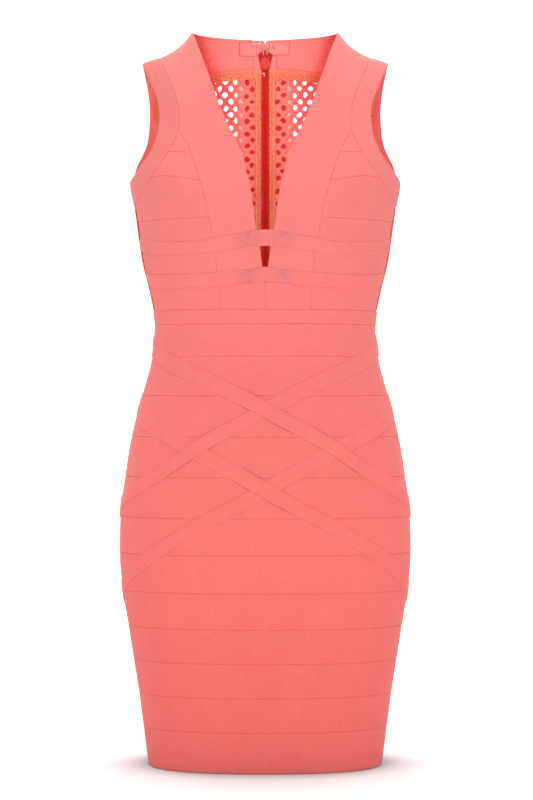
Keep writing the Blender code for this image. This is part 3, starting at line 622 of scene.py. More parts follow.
def cloth_shell(name, spots, edges, material, wall=WALL, lift=0.0, puff=0.0, closed=False,
                extra=None, inner_material=None, step=GRID_MM, grain="down"):
    """A shell of knit over a patch of the figure. puff rounds the piece out in its middle
    and extra(turn, height) adds its own offset. Returns the object and its cut size."""
    sample = np.linspace(0.0, 1.0, 33)
    points = figure(*spots(*np.meshgrid(sample, sample)))
    across = np.linalg.norm(np.diff(points, axis=1), axis=2).sum(axis=1)
    down = np.linalg.norm(np.diff(points, axis=0), axis=2).sum(axis=0)
    across = np.maximum(across, 0.8)
    parts = {side: edge_parts(edges, side) for side in ("left", "right", "top", "bottom")}
    tucks = {side: any(p[0] == "tuck" for p in found) for side, found in parts.items()}
    span_u = max(4, round(across.max() / step))
    span_v = max(3, round(down.max() / step))
    lines_v = grid_lines(span_v, tucks["top"], tucks["bottom"])
    nominal_v = np.linspace(0.0, 1.0, len(lines_v))
    if closed:
        share_u = np.repeat(np.linspace(0.0, 1.0, span_u + 1)[:, None], len(lines_v), axis=1)
    else:
        lines_u = grid_lines(span_u, tucks["left"], tucks["right"])
        share_u = line_shares(
            lines_u,
            np.interp(nominal_v, sample, across),
            weight_of(parts["left"], "tuck", nominal_v),
            weight_of(parts["right"], "tuck", nominal_v),
        )
    nominal_u = share_u.mean(axis=1).clip(0.0, 1.0)
    share_v = line_shares(
        lines_v,
        np.interp(nominal_u, sample, down),
        weight_of(parts["top"], "tuck", nominal_u),
        weight_of(parts["bottom"], "tuck", nominal_u),
    )
    u, v = share_u.T, share_v
    turn, height = spots(u, v)
    wide = np.interp(v.clip(0, 1), sample, across)
    tall = np.interp(u.clip(0, 1), sample, down)
    outer = lift + puff * np.clip(4.0 * v * (1.0 - v), 0.0, 1.0) ** 0.6 + creased(turn, height)
    inner = outer - wall
    distances = {"left": u * wide, "right": (1 - u) * wide, "top": v * tall, "bottom": (1 - v) * tall}
    for side, distance in distances.items():
        if closed and side in ("left", "right"):
            continue
        share = (v if side in ("left", "right") else u).clip(0.0, 1.0)
        add_outer, add_inner = edge_offsets(parts[side], share, distance, wall)
        outer = outer + add_outer
        inner = inner + add_inner
    if extra is not None:
        more = extra(turn, height)
        outer, inner = outer + more, inner + more
    surface, normal = figure(turn, height), outward(turn, height)
    keep = slice(0, -1) if closed else slice(None)
    layers = [surface + normal * offset[..., None] for offset in (outer, inner)]
    grid = [layer[:, keep].reshape(-1, 3) for layer in layers]
    rows, columns = u.shape[0], u.shape[1] - (1 if closed else 0)
    faces = shell_faces(rows, columns, closed)
    made = add_mesh(name, np.concatenate(grid), faces, [material, inner_material or material])

    flat = np.stack([u * wide, v * tall] if grain == "down" else [v * tall, u * wide], axis=-1) * MM
    corners = shell_faces(rows, u.shape[1], False)[: 2 * (rows - 1) * (u.shape[1] - 1)]
    flat_two = np.concatenate([flat.reshape(-1, 2), flat.reshape(-1, 2)])
    face_uv = np.zeros((len(faces), 4, 2))
    face_uv[: len(corners)] = flat_two[corners]
    rim_flat = np.concatenate([flat[:, keep].reshape(-1, 2), flat[:, keep].reshape(-1, 2)])
    face_uv[len(corners):] = rim_flat[faces[len(corners):]]
    set_uv(made.data, face_uv)
    quads = (rows - 1) * (u.shape[1] - 1)
    slots = np.zeros(len(faces), np.int32)
    slots[quads : 2 * quads] = 1
    made.data.polygons.foreach_set("material_index", slots)
    return made, (float(wide.max()) * MM, float(tall.max()) * MM)


TRIANGLES = {}
LEAST_SHARE = 0.31


def count_triangles(made):
    made.data.calc_loop_triangles()
    TRIANGLES[made.name] = len(made.data.loop_triangles)


def cut_from(shell_area, wide, tall):
    """A piece's flat area, kept between a share of its flat box and all of it."""
    return min(max(shell_area, LEAST_SHARE * wide * tall), wide * tall)


def dress_piece(made, size, nodes, area=None, rests_on=()):
    """Rides a cloth piece on the dress, hides the CAD nodes it stands for and counts its triangles."""
    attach(made, "dress")
    if nodes:
        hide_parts(*nodes)
    shell_area = sum(p.area for p in made.data.polygons) / 2.0
    wide, tall = max(size[0], 0.012), max(size[1], 0.012)
    cut_area = area or cut_from(shell_area, wide, tall)
    count_triangles(made)


# %% [markdown]
# ## Colours and cloth finishes
#
# Every finish is a material made of nodes. Board is a short way to add nodes and wire them,
# for shaders and for Geometry Nodes alike. The look of knitted loops is a node group,
# because the knit, the lattice and the tape all use it at their own sizes. It reads each
# piece's own UV map, which is in metres, so a loop is the same size everywhere.


# %% A short way to wire nodes
class Board:
    """A node tree, with short ways to add nodes and to wire them."""

    def __init__(self, tree):
        self.tree = tree

    def plug(self, value, socket):
        if isinstance(value, bpy.types.NodeSocket):
            self.tree.links.new(value, socket)
        else:
            socket.default_value = value

    def node(self, kind, inputs=None, **settings):
        made = self.tree.nodes.new(kind)
        for key, value in settings.items():
            setattr(made, key, value)
        for key, value in (inputs or {}).items():
            self.plug(value, made.inputs[key])
        return made

    def math(self, operation, *values, kind="ShaderNodeMath"):
        made = self.node(kind, operation=operation)
        for value, socket in zip(values, made.inputs):
            self.plug(value, socket)
        return made.outputs[0]

    def plus(self, first, second):
        return self.math("ADD", first, second)

    def minus(self, first, second):
        return self.math("SUBTRACT", first, second)

    def times(self, first, second):
        return self.math("MULTIPLY", first, second)

    def over(self, first, second):
        return self.math("DIVIDE", first, second)

    def size(self, value):
        return self.math("ABSOLUTE", value)

    def vector(self, operation, *values):
        return self.math(operation, *values, kind="ShaderNodeVectorMath")

    def scaled(self, vector, by):
        made = self.vector("SCALE", vector)
        self.plug(by, made.node.inputs["Scale"])
        return made

    def out(self, kind, inputs=None, **settings):
        """The first output of a new node."""
        return self.node(kind, inputs, **settings).outputs[0]

    def split(self, vector):
        return self.node("ShaderNodeSeparateXYZ", {"Vector": vector}).outputs

    def join(self, x, y, z=0.0):
        return self.out("ShaderNodeCombineXYZ", {"X": x, "Y": y, "Z": z})

    def named(self, label, kind):
        return self.out("GeometryNodeInputNamedAttribute", {"Name": label}, data_type=kind)

    def place(self):
        return self.node("ShaderNodeTexCoord").outputs["Object"]

    def finish(self, geometry, material, end):
        """The last steps of a tree: plain geometry, with its material, to the output."""
        whole = self.out("GeometryNodeRealizeInstances", {"Geometry": geometry})
        self.plug(self.out("GeometryNodeSetMaterial", {"Geometry": whole, "Material": material}),
                  end.inputs["Geometry"])
        return self.tree

    def between(self, value, low, high, to_low=0.0, to_high=1.0):
        """value, read from one range to another and kept inside it."""
        made = self.node(
            "ShaderNodeMapRange",
            {"Value": value, "From Min": low, "From Max": high, "To Min": to_low, "To Max": to_high},
        )
        return made.outputs["Result"]

    def blend(self, share, first, second, way="MIX"):
        """A colour that goes from the first to the second as share goes from 0 to 1."""
        made = self.node("ShaderNodeMix", data_type="RGBA", blend_type=way)
        for value, place in ((share, 0), (first, 6), (second, 7)):
            self.plug(value, made.inputs[place])
        return made.outputs[2]

    def noise(self, where, scale, detail=2.0, roughness=0.5):
        made = self.node(
            "ShaderNodeTexNoise",
            {"Vector": where, "Scale": scale, "Detail": detail, "Roughness": roughness},
        )
        return made.outputs["Fac"]


def new_group(kind, name, inputs, outputs):
    """A node group with named sockets. Returns its board, its inputs and its output node."""
    group = bpy.data.node_groups.new(name, kind)
    for label, socket_type, value in inputs:
        socket = group.interface.new_socket(label, in_out="INPUT", socket_type=socket_type)
        if value is not None:
            socket.default_value = value
    for label, socket_type in outputs:
        group.interface.new_socket(label, in_out="OUTPUT", socket_type=socket_type)
    board = Board(group)
    return board, board.node("NodeGroupInput").outputs, board.node("NodeGroupOutput")


# %% Knitted loops as a node group
def make_knit_group():
    """Rows of V-shaped loops, by the piece's own UV map in metres."""
    board, given, end = new_group(
        "ShaderNodeTree",
        "knitted_loops",
        [
            ("Cut", "NodeSocketVector", None),
            ("Loop Width", "NodeSocketFloat", 0.0011),
            ("Loop Height", "NodeSocketFloat", 0.0009),
            ("Unevenness", "NodeSocketFloat", 0.3),
        ],
        [("Height", "NodeSocketFloat"), ("Groove", "NodeSocketFloat")],
    )
    wander = board.noise(given["Cut"], 55.0, 1.0)
    wander = board.times(board.minus(wander, 0.5), given["Unevenness"])
    split = board.split(given["Cut"])
    wale = board.plus(board.over(split["X"], given["Loop Width"]), wander)
    course = board.over(split["Y"], given["Loop Height"])
    from_middle = board.size(board.minus(board.math("FRACT", wale), 0.5))
    from_middle = board.times(from_middle, 2.0)
    leg = board.plus(course, board.times(from_middle, 0.5))
    wave = board.math("SINE", board.times(leg, 2.0 * math.pi))
    loop = board.between(wave, -1.0, 1.0, 0.45, 1.0)
    crown = board.minus(1.0, board.times(from_middle, from_middle))
    board.plug(board.times(loop, crown), end.inputs["Height"])
    board.plug(board.math("POWER", from_middle, 3.0), end.inputs["Groove"])
    return board.tree


KNITTED_LOOPS = make_knit_group()
print("shader groups:", [KNITTED_LOOPS.name])


# %% Materials of knit
def new_material(name):
    made = bpy.data.materials.new(name)
    made.use_nodes = True
    board = Board(made.node_tree)
    shader = made.node_tree.nodes["Principled BSDF"]
    return made, board, shader


def set_shader(shader, **values):
    """Constant values, set on the shader's own sockets."""
    for key, value in values.items():
        label = key.replace("_", " ").title().replace("Ior", "IOR")
        shader.inputs[label].default_value = value


def knit_material(name, low, high, loop=(0.0011, 0.0009), depth=0.00016, sheen=0.1, roughness=0.82,
                  painted_top_light=None, speckle=None, far=None, lean=0.0, painted_dip_shade=None, top_fade=None,
                  glow=0.0):
    """Heavy matt knit whose colour drifts between two near shades, with painted shade in its grooves.

    painted_top_light is a paler colour, painted light from above, that the cloth reaches at the
    shoulders. far is (start, end, shade) for cloth further out from the centre, past a line that
    leans in by lean going down: painted shade on the yoke, its overlock strip and the lattice, the
    end of the painted shade inside the zip band, and the end of the orange threads on the zip
    allowances. painted_dip_shade is (place, width, shade), painted shade at that distance from the
    centre. top_fade is (depth, shade) for a ragged change of colour at the piece's upper edge, and
    glow is painted light: the cloth gives off light of its own."""
    made, board, shader = new_material(name)
    cut = board.node("ShaderNodeUVMap", uv_map="cut").outputs["UV"]
    place = board.place()
    split = board.split(place)
    loops = board.node("ShaderNodeGroup", node_tree=KNITTED_LOOPS)
    for key, value in (("Cut", cut), ("Loop Width", loop[0]), ("Loop Height", loop[1])):
        board.plug(value, loops.inputs[key])
    drift = board.between(board.noise(place, 34.0, 4.0, 0.6), 0.32, 0.68)
    colour = board.blend(drift, (*low, 1.0), (*high, 1.0))
    across = board.size(split["X"])
    # Painted light: the cloth turns paler towards the shoulders, for the light from above.
    if painted_top_light is not None:
        painted_lit_colour = board.blend(drift, tuple(c * 0.975 for c in painted_top_light) + (1.0,), (*painted_top_light, 1.0))
        colour = board.blend(board.between(split["Z"], -0.72, -0.02), colour, painted_lit_colour)
    if speckle is not None:
        spots = board.between(board.noise(place, 560.0, 1.0), 0.53, 0.62)
        colour = board.blend(spots, colour, (*speckle, 1.0))
    if top_fade is not None:
        ragged = board.between(board.noise(place, 560.0, 3.0, 0.7), 0.3, 0.7)
        down = board.minus(board.split(cut)["Y"], board.times(ragged, top_fade[0]))
        colour = board.blend(board.between(down, 0.0, 0.4 * top_fade[0]), (*top_fade[1], 1.0), colour)
    # Colour further out from the centre: painted shade on the yoke's inside, its overlock strip and the
    # lattice, where less light reaches; the end of the painted shade inside the zip band; the end of the
    # orange threads on the zip allowances.
    if far is not None:
        width = far[1] - far[0]
        rough = board.between(board.noise(place, 300.0, 3.0, 0.7), 0.2, 0.8, -width, width)
        wandering = board.plus(across, board.times(rough, 0.4))
        wandering = board.minus(wandering, board.times(split["Z"], lean))
        colour = board.blend(board.between(wandering, far[0], far[1]), colour, (*far[2], 1.0))
    # Painted shade: a dull patch at that distance from the centre, where the strap dips beside the V.
    if painted_dip_shade is not None:
        away = board.size(board.minus(across, painted_dip_shade[0]))
        patchy = board.between(board.noise(place, 130.0, 3.0, 0.7), 0.3, 0.7, 0.15, 0.8)
        dip_shade_mask = board.times(board.between(away, 0.0, painted_dip_shade[1], 1.0, 0.0), patchy)
        colour = board.blend(dip_shade_mask, colour, (*painted_dip_shade[2], 1.0))
    fuzz = board.between(board.noise(place, 780.0, 3.0, 0.75), 0.3, 0.7)
    fuzzy = board.blend(1.0, colour, board.blend(fuzz, (0.86, 0.76, 0.76, 1.0), (1.0, 1.0, 1.0, 1.0)),
                        way="MULTIPLY")
    # Painted shade: the cloth is darker in the grooves between the loops.
    painted_groove_shade = board.times(loops.outputs["Groove"], 0.3)
    shaded = board.blend(painted_groove_shade, fuzzy, (low[0] * 0.8, low[1] * 0.55, low[2] * 0.55, 1.0))
    board.plug(shaded, shader.inputs["Base Color"])
    height = board.plus(loops.outputs["Height"], board.times(fuzz, 0.6))
    bump = board.node("ShaderNodeBump", {"Height": height, "Distance": depth, "Strength": 0.8})
    board.plug(bump.outputs["Normal"], shader.inputs["Normal"])
    # glow is painted light: the cloth gives off light of its own.
    set_shader(shader, roughness=roughness, sheen_weight=sheen, sheen_roughness=0.45,
               sheen_tint=(1.0, 0.8, 0.78, 1.0), specular_ior_level=0.25,
               emission_strength=glow, emission_color=(*high, 1.0))
    return made


# Painted light: the paler coral that the cloth reaches at the shoulders, for the light from above.
PAINTED_TOP_LIGHT_COLOUR = (0.935, 0.256, 0.236)
CORAL = knit_material("coral_knit_shown", (0.93, 0.176, 0.160), (0.95, 0.190, 0.172), painted_top_light=PAINTED_TOP_LIGHT_COLOUR)
CORAL_STRAP = knit_material("coral_strap_shown", (0.935, 0.180, 0.164), (0.955, 0.194, 0.177),
                            painted_top_light=PAINTED_TOP_LIGHT_COLOUR)
# The bust straps carry painted shade: a dull patch on each side of the V, where the strap dips.
CORAL_BUST_STRAP = knit_material("coral_bust_strap_shown", (0.93, 0.176, 0.160), (0.95, 0.190, 0.172),
                                 painted_top_light=PAINTED_TOP_LIGHT_COLOUR, painted_dip_shade=(0.019, 0.021, (0.56, 0.17, 0.20)))
# Painted light and shade: the inside of the yoke is a paler copy of the coral, for light, and darker red
# along the edges of the V, for the shade the front panels cast.
YOKE_INSIDE_PAINTED_LIGHT = knit_material("yoke_lining_shown", (0.955, 0.228, 0.209), (0.968, 0.246, 0.226),
                            far=(0.067, 0.084, (0.74, 0.058, 0.050)), lean=0.37)
# Painted light: the inside of the armhole bands is a paler copy of the coral, and it glows.
BAND_INSIDE_PAINTED_LIGHT = knit_material("band_lining_shown", (0.95, 0.205, 0.19), (0.965, 0.225, 0.208), glow=0.13)
# Painted shade: the lattice turns darker red further out from the zip, where less light reaches.
CORAL_LATTICE = knit_material("coral_lattice_shown", (0.87, 0.22, 0.172), (0.90, 0.26, 0.202),
                              loop=(0.0012, 0.0012), depth=0.0003, far=(0.026, 0.05, (0.84, 0.10, 0.09)))
# Painted shade: the inside of the zip band is dark red for the shade in the narrow gap behind the lattice,
# and pinker further out.
ZIP_BAND_INSIDE_PAINTED_SHADE = knit_material("lining_red_shown", (0.62, 0.022, 0.018), (0.70, 0.035, 0.026), sheen=0.1,
                           depth=0.0002, far=(0.0245, 0.0275, (0.95, 0.52, 0.50)))
WRAPPED = dict(loop=(0.0016, 0.0014), depth=0.0004)
OVERLOCK = knit_material("overlock_shown", (0.97, 0.32, 0.18), (0.98, 0.42, 0.26),
                         **WRAPPED, speckle=(0.90, 0.19, 0.12),
                         far=(0.0094, 0.0124, (0.88, 0.235, 0.185)))
# Painted light: the overlock strip inside the armhole glows.
OVERLOCK_ARMHOLE = knit_material("overlock_armhole_shown", (0.96, 0.21, 0.12), (0.97, 0.28, 0.16),
                                 **WRAPPED, speckle=(0.84, 0.10, 0.06), glow=0.1)
# Painted shade at both ends of the yoke's overlock strip, by the V.
OVERLOCK_SEAM = knit_material("overlock_seam_shown", (0.97, 0.31, 0.17), (0.98, 0.40, 0.23),
                              **WRAPPED, speckle=(0.78, 0.07, 0.05),
                              far=(0.046, 0.064, (0.90, 0.085, 0.05)),
                              top_fade=(0.0048, (0.955, 0.228, 0.205)))
TAPE_RED = knit_material("zip_tape_shown", (0.50, 0.012, 0.010), (0.60, 0.022, 0.018),
                         loop=(0.0022, 0.0012), depth=0.0002, sheen=0.0)


# %% Thread, lacquer and steel
def plain_material(name, colour, worn, roughness, metallic=0.0, coat=0.0, grain=400.0, depth=0.00005,
                   gloss=0.5):
    """A hard or twisted surface whose colour and gloss vary a little."""
    made, board, shader = new_material(name)
    place = board.place()
    wear = board.between(board.noise(place, grain, 3.0, 0.6), 0.42, 0.68)
    board.plug(board.blend(wear, (*colour, 1.0), (*worn, 1.0)), shader.inputs["Base Color"])
    board.plug(board.between(wear, 0.0, 1.0, roughness, roughness + 0.18), shader.inputs["Roughness"])
    bump = board.node("ShaderNodeBump", {"Height": wear, "Distance": depth, "Strength": 0.5})
    board.plug(bump.outputs["Normal"], shader.inputs["Normal"])
    set_shader(shader, metallic=metallic, coat_weight=coat, coat_roughness=0.12, specular_ior_level=gloss)
    return made


THREAD_ORANGE = plain_material("orange_thread", (0.97, 0.34, 0.15), (0.93, 0.23, 0.11), 0.7, depth=0.0001)
THREAD_CORAL = plain_material("coral_thread", (0.86, 0.13, 0.12), (0.80, 0.11, 0.10), 0.65, depth=0.0001)
THREAD_PALE = plain_material("pale_thread", (0.95, 0.42, 0.30), (0.93, 0.34, 0.25), 0.7, depth=0.0001)
THREAD_DARK = plain_material("dark_red_thread", (0.42, 0.035, 0.03), (0.34, 0.025, 0.02), 0.7, depth=0.0001)
LACQUER = plain_material("red_lacquer", (0.34, 0.004, 0.004), (0.43, 0.008, 0.007), 0.35,
                         coat=0.04, gloss=0.12)
TOOTH_RED = plain_material("zip_tooth_red", (0.50, 0.02, 0.018), (0.40, 0.012, 0.010), 0.6, gloss=0.1)
LACQUER_DISC = plain_material("red_lacquer_disc", (0.58, 0.045, 0.028), (0.46, 0.026, 0.017), 0.5,
                              grain=700.0, depth=0.0002, gloss=0.2)
STEEL = plain_material("bent_steel", (0.62, 0.62, 0.63), (0.5, 0.5, 0.51), 0.22, metallic=1.0)
print("materials:", len([m for m in bpy.data.materials if m.use_nodes]))

# %% [markdown]
# ## The skirt
#
# Twelve level strips make the skirt, and each one's lower edge laps over the next. The four
# strips at the top are open at the centre back for the zip. The rest are closed rings. The
# last strip ends in a folded hem. The waistband is one more strip, which laps over the
# bodice above it as well.

# %% Strips of the skirt
LINED = dict(left="fold", right="fold")


def ring_spots(top, bottom):
    """Spots right round a strip, from the centre back by the right side and the front."""
    opened = bottom >= ZIP_END

    def spots(u, v):
        height = top + (bottom - top) * v
        if not opened:
            return even_turn(2.0 * u - 1.0), height
        last = turn_at(np.full_like(height, ZIP_HALF_GAP), height, back=True)
        reach = np.interp(last, FINE, walked / walked[-1] * 2.0 - 1.0)
        return even_turn((2.0 * u - 1.0) * reach), height

    return spots, not opened


def make_skirt():
    levels = [WAIST_TOP, *SKIRT_SEAMS]
    for number, (top, bottom) in enumerate(zip(levels, levels[1:])):
        name = f"skirt_strip_{number:02d}" if number else "waistband"
        spots, closed = ring_spots(top, bottom)
        edges = dict(LINED, top="tuck" if number else "lap", bottom="lap")
        if number == len(levels) - 2:
            edges["bottom"] = "fold"
        made, size = cloth_shell(name + "_cloth", spots, edges, CORAL, puff=0.35, closed=closed,
                                 grain="across" if not number else "down")
        dress_piece(made, size, [name])


make_skirt()
print("skirt strips:", len(TRIANGLES), "pieces,", sum(TRIANGLES.values()), "triangles")

# %% [markdown]
# ## The front of the bodice
#
# Each side of the front has five pieces: the V panel from the shoulder to the waist, a small
# gusset and an inset above the cup, the cup piece, and the side panel. The V panel laps
# over the others, and the armhole band laps over all of them. A piece for the wearer's left
# is worked out, and mirror gives the one for the right.

# %% Making a left and a right piece
FRONT_LEVELS = (-224.0, -246.0, -263.0, -284.0, -297.0, WAIST_TOP)


def swapped(edges):
    """The edges of a mirrored piece: its sides change places and its ends run backwards."""
    turned = {}
    for side in ("left", "right", "top", "bottom"):
        parts = edge_parts(edges, {"left": "right", "right": "left"}.get(side, side))
        if side in ("top", "bottom"):
            parts = [(kind, 1.0 - stop, 1.0 - start) for kind, start, stop in parts]
        turned[side] = parts
    return turned


def dress_pair(name, spots, edges, material=None, held="stretched", rests_on=(), slot="coral_knit",
               nodes=True, **shape):
    """A left and a right cloth piece that stand for the two CAD nodes of this name."""
    for side, side_spots, side_edges in (
        ("left", spots, edges),
        ("right", mirror(spots), swapped(edges)),
    ):
        made, size = cloth_shell(f"{name}_{side}_cloth", side_spots, side_edges, material or CORAL, **shape)
        stands_for = [f"{name}_{side}"] if nodes else []
        dress_piece(made, size, stands_for,
                    rests_on=[r.format(side=side) for r in rests_on])


def seam_edge(first, last):
    rows = V_PANEL[first : last + 1]
    return Edge([front_spot(row.seam_across, row.seam_height) for row in rows])


def neck_edge():
    return Edge([front_spot(row.neck_across, row.neck_height) for row in V_PANEL])


def shoulder_edge(to_spot):
    places = np.linspace(NECK_ACROSS, SHOULDER_SEAM_ACROSS, 13)
    on_line = [to_spot(across, float(shoulder_height(across))) for across in places]
    return [(turn, height + 0.1) for turn, height in on_line]


BAND_FRONT_SEAM = [front_spot(row.seam_across, row.seam_height) for row in BAND_FRONT]
BAND_UNDER_SEAM = [(row.seam_turn, row.seam_height) for row in BAND_UNDERARM]
BAND_BACK_SEAM = [back_spot(row.seam_across, row.seam_height) for row in BAND_BACK]


# %% V panels
def make_v_panels():
    neck = neck_edge()
    closed_from = neck.shares[CLOSED_ROW]
    spots = patch(neck, seam_edge(0, len(V_PANEL) - 1), top=Edge(shoulder_edge(front_spot)))
    edges = dict(left=[("fold", 0.0, closed_from), ("butt", closed_from, 1.0)], right="lap",
                 top="butt", bottom="tuck")
    dress_pair("front_v_panel", spots, edges, held="hung", rests_on=["bust_side_{side}"])


make_v_panels()
print("V panels:", TRIANGLES["front_v_panel_left_cloth"], "triangles each")


# %% Gussets, insets, cup pieces and side panels
TUCKED_IN = dict(left="tuck", right="tuck", top="tuck", bottom="lap")


def make_bust_pieces():
    cup_line = [(0.0, -175.0), (0.33, -174.0), (0.67, -177.0), (1.0, -181.0)]
    start = front_spot(V_PANEL[CUP_ROW].seam_across, V_PANEL[CUP_ROW].seam_height)
    end = BAND_FRONT_SEAM[CUP_ROW]
    cup_height = smooth_curve([1.0 - s for s, _ in reversed(cup_line)],
                              [h for _, h in reversed(cup_line)])
    places = np.linspace(0.0, 1.0, 7)
    cup_seam = Edge([(start[0] + (end[0] - start[0]) * k, float(cup_height(k))) for k in places])
    turn, height = BAND_FRONT_SEAM[GUSSET_ROW - 1]
    outer = Edge([(turn + 0.3, height), *BAND_FRONT_SEAM[GUSSET_ROW : INSET_ROW + 1]])
    dress_pair("bust_gusset", patch(seam_edge(GUSSET_ROW - 1, INSET_ROW), outer),
               TUCKED_IN)
    outer = Edge(BAND_FRONT_SEAM[INSET_ROW : CUP_ROW + 1])
    dress_pair("bust_inset", patch(seam_edge(INSET_ROW, CUP_ROW), outer, bottom=cup_seam),
               TUCKED_IN)
    outer = Edge([*BAND_FRONT_SEAM[CUP_ROW:], BAND_UNDER_SEAM[0], (SIDE_SEAM_TURN, FRONT_LEVELS[0])])
    under_band = outer.shares[-2]
    dress_pair("bust_side", patch(seam_edge(CUP_ROW, BUST_ROW), outer, top=cup_seam),
               dict(left="tuck", right=[("tuck", 0.0, under_band), ("lap", under_band, 1.0)],
                    top="tuck", bottom="lap"))
    outer = Edge([(SIDE_SEAM_TURN, level) for level in FRONT_LEVELS])
    dress_pair("side_panel", patch(seam_edge(BUST_ROW, len(V_PANEL) - 1), outer),
               dict(left="tuck", right="lap", top="tuck", bottom="tuck"))


make_bust_pieces()
print("cup piece:", TRIANGLES["bust_side_left_cloth"], "triangles")

# %% [markdown]
# ## Armhole bands
#
# A band is one long strip sewn into a ring. Its free edge is a fold, and its other edge laps
# over the panels. The ring starts at the shoulder, runs down the front, under the arm and up
# the back.


# %% The armhole bands
def make_armhole_bands():
    free = [front_spot(row.edge_across, row.edge_height) for row in BAND_FRONT]
    free += [(row.edge_turn, row.edge_height) for row in BAND_UNDERARM]
    free += [back_spot(row.edge_across, row.edge_height) for row in BAND_BACK]
    free.append(back_spot(BAND_FRONT[0].edge_across, BAND_FRONT[0].edge_height))
    sewn = BAND_FRONT_SEAM + BAND_UNDER_SEAM + BAND_BACK_SEAM
    sewn = sewn + [back_spot(BAND_FRONT[0].seam_across, BAND_FRONT[0].seam_height)]
    free_edge, sewn_edge = Edge(free), Edge(sewn)
    same_share = smooth_curve(free_edge.shares, sewn_edge.shares)

    def spots(u, v):
        blend = v[..., None]
        found = (1.0 - blend) * free_edge(u) + blend * sewn_edge(same_share(u))
        return found[..., 0], found[..., 1]

    dress_pair("armhole_band", spots, dict(top="fold", bottom="lap"), closed=True, puff=0.3,
               held="hung", step=3.5, inner_material=BAND_INSIDE_PAINTED_LIGHT,
               rests_on=["bust_side_{side}", "back_yoke_{side}"])


make_armhole_bands()
print("armhole band:", TRIANGLES["armhole_band_left_cloth"], "triangles")

# %% [markdown]
# ## Straps over the bust and the hips
#
# The straps are doubled strips of knit with soft folded edges. The two over the bust are
# caught in the side seams and bridge the open V. The four over the hips cross in pairs, and
# where one lies over another it is lifted by that strap's own thickness, with a gentle ramp.

# %% Bust straps
STRAP_LIFT = 1.2
STRAP_WALL = 1.15
STRAP_EDGES = dict(left="flat", right="flat", top="soft", bottom="flat")


def bust_strap_spots(rows):
    top = smooth_curve(column(rows, "across"), column(rows, "top"))
    bottom = smooth_curve(column(rows, "across"), column(rows, "bottom"))
    middle = rows[len(rows) // 2]
    level = (middle.top + middle.bottom) / 2.0
    fine = np.linspace(-SIDE_SEAM_TURN, SIDE_SEAM_TURN, 601)
    line = figure(fine, np.full_like(fine, level))
    length = walk(line)

    def spots(u, v):
        turn = np.interp(u, length / length[-1], fine)
        across = np.abs(figure(turn, np.full_like(turn, level))[..., 0])
        return turn, top(across) * (1.0 - v) + bottom(across) * v

    return spots


neck_across_at = smooth_curve([-row.neck_height for row in V_PANEL[:CLOSED_ROW + 1]],
                              column(V_PANEL[:CLOSED_ROW + 1], "neck_across"))


def over_the_v(turn, height):
    """The strap dips into the open V and rises over the two neckline folds beside it."""
    across = np.abs(figure(turn, height)[..., 0])
    opening = np.maximum(neck_across_at(-height), 0.0)
    dip = -1.0 * (1.0 - smooth_step((across - opening + 2.5) / 3.0))
    ridge = 0.5 * np.exp(-(((across - opening - 1.5) / 3.0) ** 2))
    hollow = -0.5 * np.exp(-(((across - opening - 15.0) / 9.0) ** 2))
    return dip + ridge + hollow


for name, rows in (("upper_bust_strap", UPPER_STRAP), ("lower_bust_strap", LOWER_STRAP)):
    made, size = cloth_shell(name + "_cloth", bust_strap_spots(rows), STRAP_EDGES, CORAL_BUST_STRAP,
                             wall=STRAP_WALL, lift=STRAP_LIFT, puff=0.3, grain="across", step=3.0,
                             extra=over_the_v)
    dress_piece(made, size, [name], rests_on=["front_v_panel_left_cloth", "front_v_panel_right_cloth"])
print("bust strap:", TRIANGLES["upper_bust_strap_cloth"], "triangles")

# %% Hip straps
HALF_STRAP = DIAGONAL_HEIGHT / 2.0
front_fine = np.linspace(0.0, 90.0, 721)
front_line = figure(front_fine, np.full_like(front_fine, HIP_LEVEL))
front_share = walk(front_line) / walk(front_line)[-1]


def hip_strap_height(rows, to_left):
    """The strap's centre height by turn."""
    curve = smooth_curve(column(rows, "share"), column(rows, "height"))
    sign = 1.0 if to_left else -1.0

    def height(turn):
        share = np.copysign(np.interp(np.abs(turn), front_fine, front_share), turn)
        return curve(np.clip(sign * share, -1.0, 1.0))

    return height


def make_hip_straps():
    laid = []
    for name, rows, to_left in (
        ("lower_hip_strap_to_right", LOWER_DIAGONAL, False),
        ("lower_hip_strap_to_left", LOWER_DIAGONAL, True),
        ("upper_hip_strap_to_right", UPPER_DIAGONAL, False),
        ("upper_hip_strap_to_left", UPPER_DIAGONAL, True),
    ):
        centre = hip_strap_height(rows, to_left)

        def spots(u, v):
            turn = np.interp(2.0 * u - 1.0, np.concatenate([-front_share[:0:-1], front_share]),
                             np.concatenate([-front_fine[:0:-1], front_fine]))
            return turn, centre(turn) + HALF_STRAP - DIAGONAL_HEIGHT * v

        def ramp(turn, height):
            lift = np.zeros_like(turn)
            for under in laid:
                apart = np.abs(centre(turn) - under(turn))
                nearness = 1.0 - smooth_step((apart - CROSSING_FROM) / CROSSING_RAMP)
                lift = np.maximum(lift, STRAP_LIFT * nearness)
            return lift

        made, size = cloth_shell(name + "_cloth", spots, STRAP_EDGES, CORAL_STRAP, wall=STRAP_WALL,
                                 lift=STRAP_LIFT, puff=0.25, extra=ramp, step=3.5)
        dress_piece(made, size, [name], rests_on=["skirt_strip_03_cloth", "skirt_strip_06_cloth"])
        laid.append(centre)


make_hip_straps()
print("hip strap:", TRIANGLES["upper_hip_strap_to_left_cloth"], "triangles")

# %% [markdown]
# ## The back
#
# A smooth yoke closes the back at the neck. Under it a lattice of knit runs to the waist,
# with a solid band outside it on each side of the zip. The tapes of the zip are inside,
# with the overlocked allowances of the back over them.


# %% Yoke and zip bands
def zip_line(across, levels):
    return Edge([back_spot(across, level) for level in levels])


